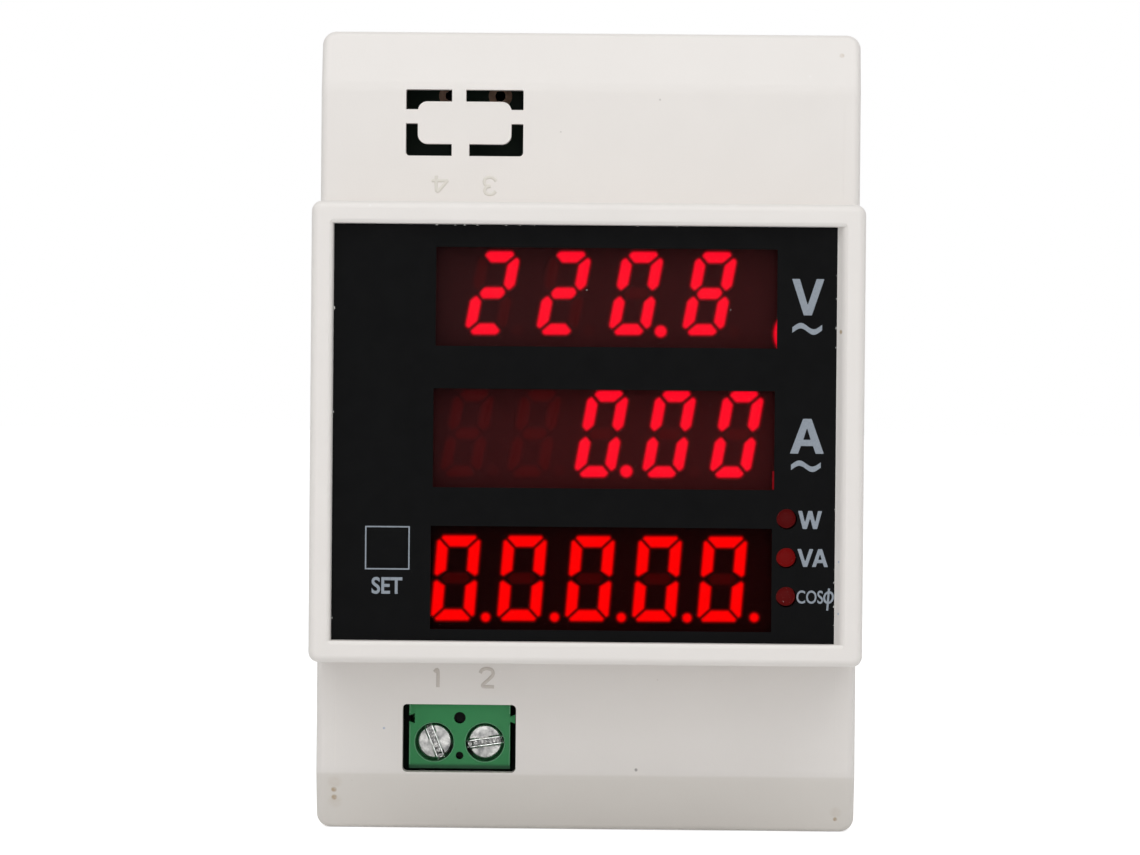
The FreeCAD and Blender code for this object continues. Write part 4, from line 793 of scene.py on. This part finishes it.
def build_key():
    """Thin square round the key, and the shallow dome of film over it, with a dent at its upper left."""
    x0, x1, z0, z1 = KEY_BOX
    inner = corners(x0 + KEY_LINE, x1 - KEY_LINE, z0 + KEY_LINE, z1 - KEY_LINE)
    printed_outlines("print_key_outline", [corners(*KEY_BOX), inner])
    half = (x1 - x0) / 2 - 0.28
    steps = [2 * index / 32 - 1 for index in range(33)]
    bm, rows = bmesh.new(), []
    for up in steps:
        points = []
        for across in steps:
            rise = (1 - abs(across) ** 10) * (1 - abs(up) ** 10)
            dent = math.exp(-((across + 0.45) ** 2 + (up - 0.45) ** 2) * 6)
            y = FILM_Y - 0.002 - 0.09 * rise ** 0.7 + 0.03 * dent * rise
            points.append(bm.verts.new(mm((x0 + x1) / 2 + across * half, y, (z0 + z1) / 2 + up * half)))
        rows.append(points)
    grid_faces(bm, rows)
    add_form("key_dome", bm, "black_film", smooth=60)


def build_print():
    """Marks on the film, each with the box it fills: lowest and highest x, lowest and highest z."""
    lettering("print_volt", "V", (19.87, 23.01, 11.74, 15.28))
    wave_mark("print_volt_wave", (19.93, 22.83, 9.85, 11.00))
    lettering("print_ampere", "A", (19.80, 23.11, -1.75, 1.65))
    wave_mark("print_ampere_wave", (19.92, 22.82, -3.53, -2.41))
    lettering("print_watt", "W", (20.66, 22.99, -9.09, -7.33))
    lettering("print_volt_ampere", "VA", (20.62, 23.61, -12.79, -11.05), spacing=-0.12)
    typed("print_cosine", "COS", (20.57, 23.16, -16.38, -15.09), weight=0.012)
    typed("print_set", "SET", (-20.9, -17.9, -15.81, -14.15), weight=0.022)
    build_phase_mark()
    build_key()


# Moulded numbers, walls and ridges of the case

NUMBER_PATHS = {
    "1": [[(-0.22, 0.52), (0.12, 0.86), (0.12, -0.86)]],
    "2": [[(-0.62, 0.45), (-0.45, 0.76), (0.0, 0.88), (0.45, 0.76), (0.60, 0.42), (0.45, 0.10),
           (-0.60, -0.80), (0.66, -0.80)]],
    "3": [[(-0.58, 0.52), (-0.36, 0.78), (0.0, 0.87), (0.42, 0.72), (0.50, 0.42), (0.34, 0.12),
           (-0.08, 0.04)],
          [(-0.08, 0.04), (0.42, -0.06), (0.58, -0.42), (0.42, -0.74), (0.0, -0.87), (-0.42, -0.74),
           (-0.62, -0.46)]],
    "4": [[(0.32, -0.87), (0.32, 0.87), (-0.74, -0.42)], [(-0.80, -0.40), (0.76, -0.40)]],
}

# Number, x, z and half its height, which is negative where it stands on its head, and its material
# Each number's material is a painted shade, darker below and cream above
NUMBERS = [("1", -14.96, -24.76, 1.10, NUMBER_PAINTED_SHADE), ("2", -9.93, -24.74, 1.10, NUMBER_PAINTED_SHADE),
           ("4", -15.08, 24.60, -1.06, CREAM_NUMBER_PAINTED_SHADE), ("3", -10.06, 24.55, -1.02, CREAM_NUMBER_PAINTED_SHADE)]

# Half width and height across a stroke of a moulded number
BEAD_PROFILE = [(0.18, 0.0), (0.14, 0.05), (0.07, 0.075)]
STROKE_DROP = 0.006

# Walls of the recess: width and depth of the slope, then shares of both across it
RIM_WALLS = {"bottom": (0.43, 0.15), "right": (0.98, 1.05), "top": (0.43, 0.16), "left": (0.43, 0.30)}
RIM_PROFILE = [(0.0, 0.0), (0.3, 0.2), (0.6, 0.5), (0.88, 1.0)]
RIM_LAP = 0.03

GASKET_THICKNESS = 0.14

# Ridges on the shoulders: x and two heights for the upright ones, z and two places for the level ones
UPRIGHT_LINES = [(25.34, 23.2, 38.2), (24.96, -38.8, -23.2), (-25.12, -39.2, -23.2)]
LEVEL_LINES = [(37.87, -24.9, 25.3), (-37.77, -25.1, 24.9)]


def build_numbers():
    """Low flat-topped numbers, each stroke a little lower than the one it crosses."""
    profile = BEAD_PROFILE + [(-width, rise) for width, rise in reversed(BEAD_PROFILE)]
    for text, x, z, size, material in NUMBERS:
        bm = bmesh.new()
        for index, points in enumerate(NUMBER_PATHS[text]):
            base = SHOULDER_Y + 0.01 + STROKE_DROP * index
            path = eased([(x + size * across, z + size * up) for across, up in points])
            ribbon(bm, path, [(width, base - rise) for width, rise in profile])
        add_form(f"moulded_number_{text}", bm, "white_case", smooth=50, material=material)


def build_recess_rim():
    """Sloping white walls between the frame's edge and the film, with sharp corners."""
    (x0, _, z0), (x1, _, z1) = box("front_film")
    out = {side: width - RIM_LAP for side, (width, _) in RIM_WALLS.items()}
    ends = corners(x0 - out["left"], x1 + out["right"], z0 - out["bottom"], z1 + out["top"])
    ends.append(ends[0])
    front, foot = box("front_cover")[0][1] + 0.015, FILM_Y - 0.015
    bm = bmesh.new()
    for index, (width, depth) in enumerate(RIM_WALLS.values()):
        slope = [(width * share, front + depth * drop) for share, drop in RIM_PROFILE]
        ribbon(bm, ends[index:index + 2], [(-RIM_LAP, front)] + slope + [(width, foot), (-RIM_LAP, foot)])
    add_form("recess_rim", bm, "white_case", smooth=40)


def build_display_gasket():
    """Thin black foam round the filter and the space between it and the displays."""
    (x0, filter_y, z0), (x1, _, z1) = box("window_filter")
    front, back, wall = filter_y + 0.02, FACE_Y + 1.2, GASKET_THICKNESS
    pairs = zip(corners(x0, x1, z0, z1), corners(x0 + wall, x1 - wall, z0 + wall, z1 - wall))
    sections = [[mm(outer.x, front, outer.y), mm(inner.x, front, inner.y),
                 mm(inner.x, back, inner.y), mm(outer.x, back, outer.y)] for outer, inner in pairs]
    bm = bmesh.new()
    swept(bm, sections, closed=True)
    add_form("display_gasket", bm, "black_plastic")


def ridge(bm, path, half_x, half_z):
    """Low ridge with a triangular section over (x, z) points of a shoulder."""
    swept(bm, [[mm(x - half_x, shoulder_y(z - half_z) + 0.004, z - half_z),
                mm(x, shoulder_y(z) - 0.014, z),
                mm(x + half_x, shoulder_y(z + half_z) + 0.004, z + half_z)] for x, z in path])


def build_witness_lines():
    """Hair-thin ridges that the mould left near the corners of the shoulders."""
    bm = bmesh.new()
    for x, z0, z1 in UPRIGHT_LINES:
        ridge(bm, [(x, z0 + (z1 - z0) * step / 12) for step in range(13)], 0.035, 0.0)
    for z, x0, x1 in LEVEL_LINES:
        ridge(bm, [(x0, z), (x1, z)], 0.0, 0.03)
    add_form("witness_lines", bm, "white_case")


# Terminals

# Turn of each screw's slot, in degrees
SLOT_TURNS = {1: -22.0, 2: 81.6}
SCREW_RADIUS = 1.70
SHANK_RADIUS = 1.25
HEAD_HEIGHT = 1.45
HEAD_STEPS = 48
SLOT_HALF_WIDTH = 0.24
BURR_REACH = 0.17
THREAD_PITCH = 0.45
THREAD_DEPTH = 0.14

# Lips of the green block: sections round a screw hole and along a side, then the sides' x, and which way
# their lips thicken
HOLE_LIP = [(1.955, 0.02), (1.965, -0.045), (2.01, -0.05), (2.05, 0.005)]
SIDE_LIP = [(0.0, 0.01), (0.0, -0.03), (0.05, -0.03), (0.09, 0.01)]
SIDE_LIPS = [(-17.70, 1), (-7.62, -1)]
SIDE_LIP_SPANS = [(-33.6, -29.55), (-28.45, -26.6)]


def screw_front(u, v, burr):
    """Height and wear of a slotted screw head, with painted shade in the slot and a painted highlight at the
    rim: u runs across the slot and v along it.
    """
    gap = abs(u)
    ragged = noise.noise(Vector((u * 2.2, v * 2.6, SCREW_RADIUS)))
    fine = noise.noise(Vector((u * 7.0, v * 5.0, 3.0)))
    if gap < SLOT_HALF_WIDTH:
        # Painted shade: the slot's floor gets a low level
        return -0.32 + 0.12 * ragged + 0.07 * fine, max(0.05, min(1.0, 0.2 + 1.6 * fine))
    crest = math.exp(-((gap - SLOT_HALF_WIDTH - 0.09) / 0.10) ** 2)
    ends = min(1.0, 0.6 + 0.6 * abs(v) / SCREW_RADIUS)
    dome = 0.05 * (1 - (u * u + v * v) / SCREW_RADIUS ** 2) + 0.012 * fine
    edge = max(0.0, (math.hypot(u, v) - SCREW_RADIUS + 0.14) / 0.14)
    fall = 0.10 * min(edge, 1.6) ** 2 * (0.4 if burr > 0.05 else 1.0)
    # The crest of the burrs is real wear; the rise towards the rim is a painted highlight
    wear = max(min(1.0, 0.4 + 0.7 * crest), 0.4 + 0.6 * min(1.0, edge))
    return dome + (0.15 + 0.08 * ragged) * ends * crest - fall, wear


def screw_columns():
    """Places across a screw head, closest at its edges and at the walls of its slot."""
    arc = {round(SCREW_RADIUS * math.sin(math.pi * (index / 40 - 0.5)), 4) for index in range(1, 40)}
    walls = {side * (SLOT_HALF_WIDTH + shift) for side in (-1, 1) for shift in (-0.001, 0.015)}
    return sorted(arc | walls | {-0.36, -0.30, 0.30, 0.36})


def screw_head(bm, x, z, front, turn):
    """Worn face of a screw head, with burrs at the ends of its slot."""
    layer = bm.verts.layers.float.new("wear")
    grid = []
    for u in screw_columns():
        burr = BURR_REACH * math.exp(-((abs(u) - 0.30) / 0.14) ** 2)
        reach = math.sqrt(max(SCREW_RADIUS ** 2 - u * u, 0.02)) + burr
        column = []
        for index in range(HEAD_STEPS + 1):
            v = reach * math.sin(math.pi / 2 * (2 * index / HEAD_STEPS - 1))
            rise, wear = screw_front(u, v, burr)
            across = u * math.cos(turn) + v * math.sin(turn)
            up = v * math.cos(turn) - u * math.sin(turn)
            vertex = bm.verts.new(mm(x + across, front + 0.20 - rise, z + up))
            vertex[layer] = wear
            column.append(vertex)
        grid.append(column)
    grid_faces(bm, grid)


def head_side(bm, x, z, front):
    """Side of the head, drawn back from the edge of its worn face."""
    rim = [edge for edge in bm.edges if edge.is_boundary]
    for item in bmesh.ops.extrude_edge_only(bm, edges=rim)["geom"]:
        if isinstance(item, bmesh.types.BMVert):
            away = Vector((item.co.x * 1000 - x, item.co.z * 1000 - z))
            away *= min(1.0, SCREW_RADIUS / away.length)
            item.co = mm(x + away.x, front + 0.55, z + away.y)


def thread_profile(seat, back):
    """Ridges of the thread, down to the screw's end."""
    root = SHANK_RADIUS - THREAD_DEPTH
    profile = []
    y = seat + 0.9
    while y + THREAD_PITCH < back:
        profile += [(SHANK_RADIUS, y), (root, y + THREAD_PITCH / 2)]
        y += THREAD_PITCH
    return profile + [(root, back)]


def build_screws():
    """Slotted terminal screws with worn heads, in place of the plain ones."""
    for number, angle in SLOT_TURNS.items():
        node = f"terminal_screw_{number}"
        x, z = middle(node)
        front, back = (corner[1] for corner in box(node))
        seat = front + HEAD_HEIGHT
        bm = bmesh.new()
        screw_head(bm, x, z, front, math.radians(angle))
        head_side(bm, x, z, front)
        shank = [(SCREW_RADIUS, front + 0.5), (SCREW_RADIUS, seat), (SHANK_RADIUS, seat)]
        lathe(bm, x, z, shank + thread_profile(seat, back) + [(0, back)], steps=40)
        add_form(f"worn_screw_{number}", bm, "steel_screw", smooth=32, body=f"screw_{number}",
                 replaces=[node])


def build_terminal_lips():
    """Thin lips round the screw holes and along the sides of the green block, in a lighter green as painted
    highlight.
    """
    face = box("terminal_block")[0][1]
    bm = bmesh.new()
    for number in SLOT_TURNS:
        lathe(bm, *middle(f"terminal_screw_{number}"), [(radius, face + y) for radius, y in HOLE_LIP])
    for x, side in SIDE_LIPS:
        for span in SIDE_LIP_SPANS:
            swept(bm, [[mm(x + side * out, face + y, z) for out, y in SIDE_LIP] for z in span])
    add_form("terminal_lips", bm, "terminal_green", smooth=30, material=LIP_PAINTED_HIGHLIGHT)


# Lamps and spring

# Light of the three mode lamps, from the top; the middle one shines a little
LAMP_LIGHT = [(0.100, 0.0058, 0.0060), (0.205, 0.0062, 0.0058), (0.116, 0.0070, 0.0068)]
SPRING_THICKNESS = 0.4
SPRING_BENDS = 6
SPRING_EDGE = 0.12


def lamp_material(name, light):
    """Red lens that glows unevenly."""
    recipe = Recipe(name, (0.10, 0.004, 0.005), 0.35, specular=0.05)
    recipe.feed(recipe.mixed(recipe.noise(0.4), *shades(light, 0.2)), "Emission Color")
    recipe.set("Emission Strength", 1.0)
    return recipe


def build_lamps():
    """Three round lamps behind the spots in the film."""
    (x0, front, z0), (x1, back, z1) = box("mode_lamps")
    x, radius = (x0 + x1) / 2, (x1 - x0) / 2
    profile = [(0, front), (radius * 0.6, front + 0.01), (radius * 0.85, front + 0.09),
               (radius * 0.97, front + 0.3), (radius * 0.97, back - 0.5), (radius, back - 0.5),
               (radius, back), (0, back)]
    for index, z in enumerate((z1 - radius, (z0 + z1) / 2, z0 + radius)):
        bm = bmesh.new()
        lathe(bm, x, z, profile)
        material = lamp_material(f"lamp_glow_{index + 1}", LAMP_LIGHT[index])
        add_form(f"mode_lamp_{index + 1}", bm, "red_lamp", smooth=40, material=material,
                 replaces=["mode_lamps"] if index == 0 else ())


def spring_path(reach, z0, z1):
    """Straight runs joined by half turns, from the lower left end to the upper right one."""
    radius = (z1 - z0) / SPRING_BENDS / 2
    path = [Vector((-reach, z0))]
    for index in range(SPRING_BENDS):
        side = 1 if index % 2 == 0 else -1
        centre = Vector((side * reach, z0 + radius * (2 * index + 1)))
        for step in range(13):
            turn = math.pi * (step / 12 - 0.5)
            path.append(centre + Vector((side * radius * math.cos(turn), radius * math.sin(turn))))
    return path + [Vector((reach, z1))]


def build_spring():
    """Serpentine strip under the latch; the real one shortens as the latch is drawn down."""
    (_, y0, z0), (x1, y1, z1) = box("latch_spring")
    half = SPRING_THICKNESS / 2
    y0, y1, z0, z1 = y0 + 0.1, y1 - 0.1, z0 + half, z1 - half
    reach = x1 - (z1 - z0) / SPRING_BENDS / 2 - half
    one_side = [(half, y0 + SPRING_EDGE), (half * 0.6, y0), (-half * 0.6, y0), (-half, y0 + SPRING_EDGE)]
    other_side = [(-half, y1 - SPRING_EDGE), (-half * 0.6, y1), (half * 0.6, y1), (half, y1 - SPRING_EDGE)]
    bm = bmesh.new()
    ribbon(bm, spring_path(reach, z0, z1), one_side + other_side)
    spring = add_form("latch_spring_strip", bm, "spring_steel", smooth=35, replaces=["latch_spring"])
    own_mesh(spring)


# Lint

# Crumbs lie this far inside the film's edge; the larger flakes are x, z, size, stretch and turn
LINT_COUNT = 20
LINT_SIDES = ("left", "right", "right", "top", "top")
LINT_MARGIN = {"left": 0.10, "right": 0.10, "top": 0.09}
LINT_FLAKES = [(-0.13, 14.03, 0.06), (13.9, 12.2, 0.05), (19.3, -16.2, 0.04), (12.0, 2.9, 0.03),
               (24.62, -10.25, 0.06, 4.0), (24.2, -14.3, 0.035, 4.0, 0.9)]


def flake(bm, x, z, size, stretch=1.0, turn=0.0):
    """Thin irregular flake lying on the film."""
    ring = []
    for angle in turns(7):
        radius = size * RANDOM.uniform(0.7, 1.15)
        across, up = radius * math.cos(angle) * stretch, radius * math.sin(angle)
        ring.append((x + across * math.cos(turn) - up * math.sin(turn),
                     z + across * math.sin(turn) + up * math.cos(turn)))
    back = loop(bm, ring, FILM_Y)
    front = loop(bm, inset(ring, size * 0.3), FILM_Y - size * 0.35)
    bm.faces.new(back)
    bridge(bm, back, front)
    bm.faces.new(front)


def build_dust():
    """Crumbs of lint on the film, mostly along its cut edge."""
    lint = Recipe("lint", (0.62, 0.62, 0.60), 0.8, specular=0.1)
    lint.tones(lint.noise(0.2), (0.50, 0.50, 0.48), (0.75, 0.75, 0.73))
    (x0, _, z0), (x1, _, z1) = box("front_film")
    bm = bmesh.new()
    for _ in range(LINT_COUNT):
        along = RANDOM.random()
        side = RANDOM.choice(LINT_SIDES)
        margin = LINT_MARGIN[side]
        x = {"left": x0 + margin, "right": x1 - margin, "top": x0 + (x1 - x0) * along}[side]
        z = z1 - margin if side == "top" else z0 + (z1 - z0) * along
        turn = 0.0 if side == "top" else math.pi / 2
        flake(bm, x, z, RANDOM.uniform(0.025, 0.06), RANDOM.uniform(1.0, 3.5), turn)
    for measures in LINT_FLAKES:
        flake(bm, *measures)
    add_form("film_lint", bm, "black_film", material=lint)


# Light, floor and camera

# Lamps: place and size in metres and power in watts; they point at a place just behind the meter's face
LAMPS = {"key_light": ((-0.04, -0.46, 0.62), (1.1, 0.36), 2.6),
         "front_light": ((0.05, -0.85, 0.18), (0.6, 0.5), 1.4)}
AIM = Vector((0, -0.04, 0))
AMBIENT = 0.42
FLOOR_GLOW = 0.67

# Camera: level with the meter and nearly square to it, in metres and degrees
CAMERA_PLACE = (0.004242, -0.58195, 0.007051)
CAMERA_TURN = (90 - 0.70509, -0.50322, 0.65146)
LENS = 169.70


def seen_directly(tree):
    """1 for camera, glossy and transmitted rays."""
    rays = add_node(tree, "ShaderNodeLightPath").outputs
    seen = rays["Is Camera Ray"]
    for name in ("Is Glossy Ray", "Is Transmission Ray"):
        seen = add_node(tree, "ShaderNodeMath", {0: seen, 1: rays[name]}, operation="MAXIMUM").outputs[0]
    return seen


def floor_material():
    """Pale floor that takes the shadow, and glows a little where it is seen."""
    material = bpy.data.materials.new("pale_floor")
    material.use_nodes = True
    tree = material.node_tree
    tree.nodes.clear()
    diffuse = add_node(tree, "ShaderNodeBsdfDiffuse", {"Color": (0.9, 0.9, 0.9, 1)})
    seen = seen_directly(tree)
    level = add_node(tree, "ShaderNodeMath", {0: seen, 1: FLOOR_GLOW}, operation="MULTIPLY")
    glow = add_node(tree, "ShaderNodeEmission", {"Strength": level.outputs[0]})
    both = add_node(tree, "ShaderNodeAddShader", {0: diffuse.outputs[0], 1: glow.outputs[0]})
    add_node(tree, "ShaderNodeOutputMaterial", {"Surface": both.outputs[0]})
    return material


def build_backdrop():
    """White where it is seen, and a dimmer even light on the object."""
    world = bpy.data.worlds.new("studio")
    bpy.context.scene.world = world
    world.use_nodes = True
    tree = world.node_tree
    tree.nodes.clear()
    light, seen = (add_node(tree, "ShaderNodeBackground", {"Color": (1, 1, 1, 1), "Strength": strength})
                   for strength in (AMBIENT, 1.0))
    mix = add_node(tree, "ShaderNodeMixShader", {0: seen_directly(tree), 1: light.outputs[0],
                                                 2: seen.outputs[0]})
    add_node(tree, "ShaderNodeOutputWorld", {"Surface": mix.outputs[0]})


def build_floor():
    """Floor just under the meter."""
    mesh = bpy.data.meshes.new("floor")
    bm = bmesh.new()
    bmesh.ops.create_grid(bm, x_segments=2, y_segments=2, size=3.0)
    bm.to_mesh(mesh)
    bm.free()
    mesh.materials.append(floor_material())
    ground = show("floor", mesh)
    ground.location.z = CAD_BOUNDS[0][2] - 0.00005


def build_lights():
    """Soft light from above and in front."""
    for name, (place, size, power) in LAMPS.items():
        data = bpy.data.lights.new(name, "AREA")
        data.shape = "RECTANGLE"
        data.size, data.size_y = size
        data.energy = power
        light = show(name, data)
        light.location = place
        light.rotation_euler = (AIM - Vector(place)).to_track_quat("-Z", "Y").to_euler()


def build_camera():
    """Camera at the photo's angle."""
    data = bpy.data.cameras.new("camera")
    data.sensor_width = 36.0
    data.lens = LENS
    camera = show("camera", data)
    camera.location = CAMERA_PLACE
    camera.rotation_euler = [math.radians(angle) for angle in CAMERA_TURN]
    bpy.context.scene.camera = camera


dress_nodes()
for row_name in ROWS:
    build_row(row_name)
build_edge_glow()
build_print()
build_numbers()
build_recess_rim()
build_display_gasket()
build_witness_lines()
build_terminal_lips()
build_screws()
build_lamps()
build_spring()
build_dust()
build_floor()
build_backdrop()
build_lights()
build_camera()
bpy.context.scene.view_settings.view_transform = "Standard"
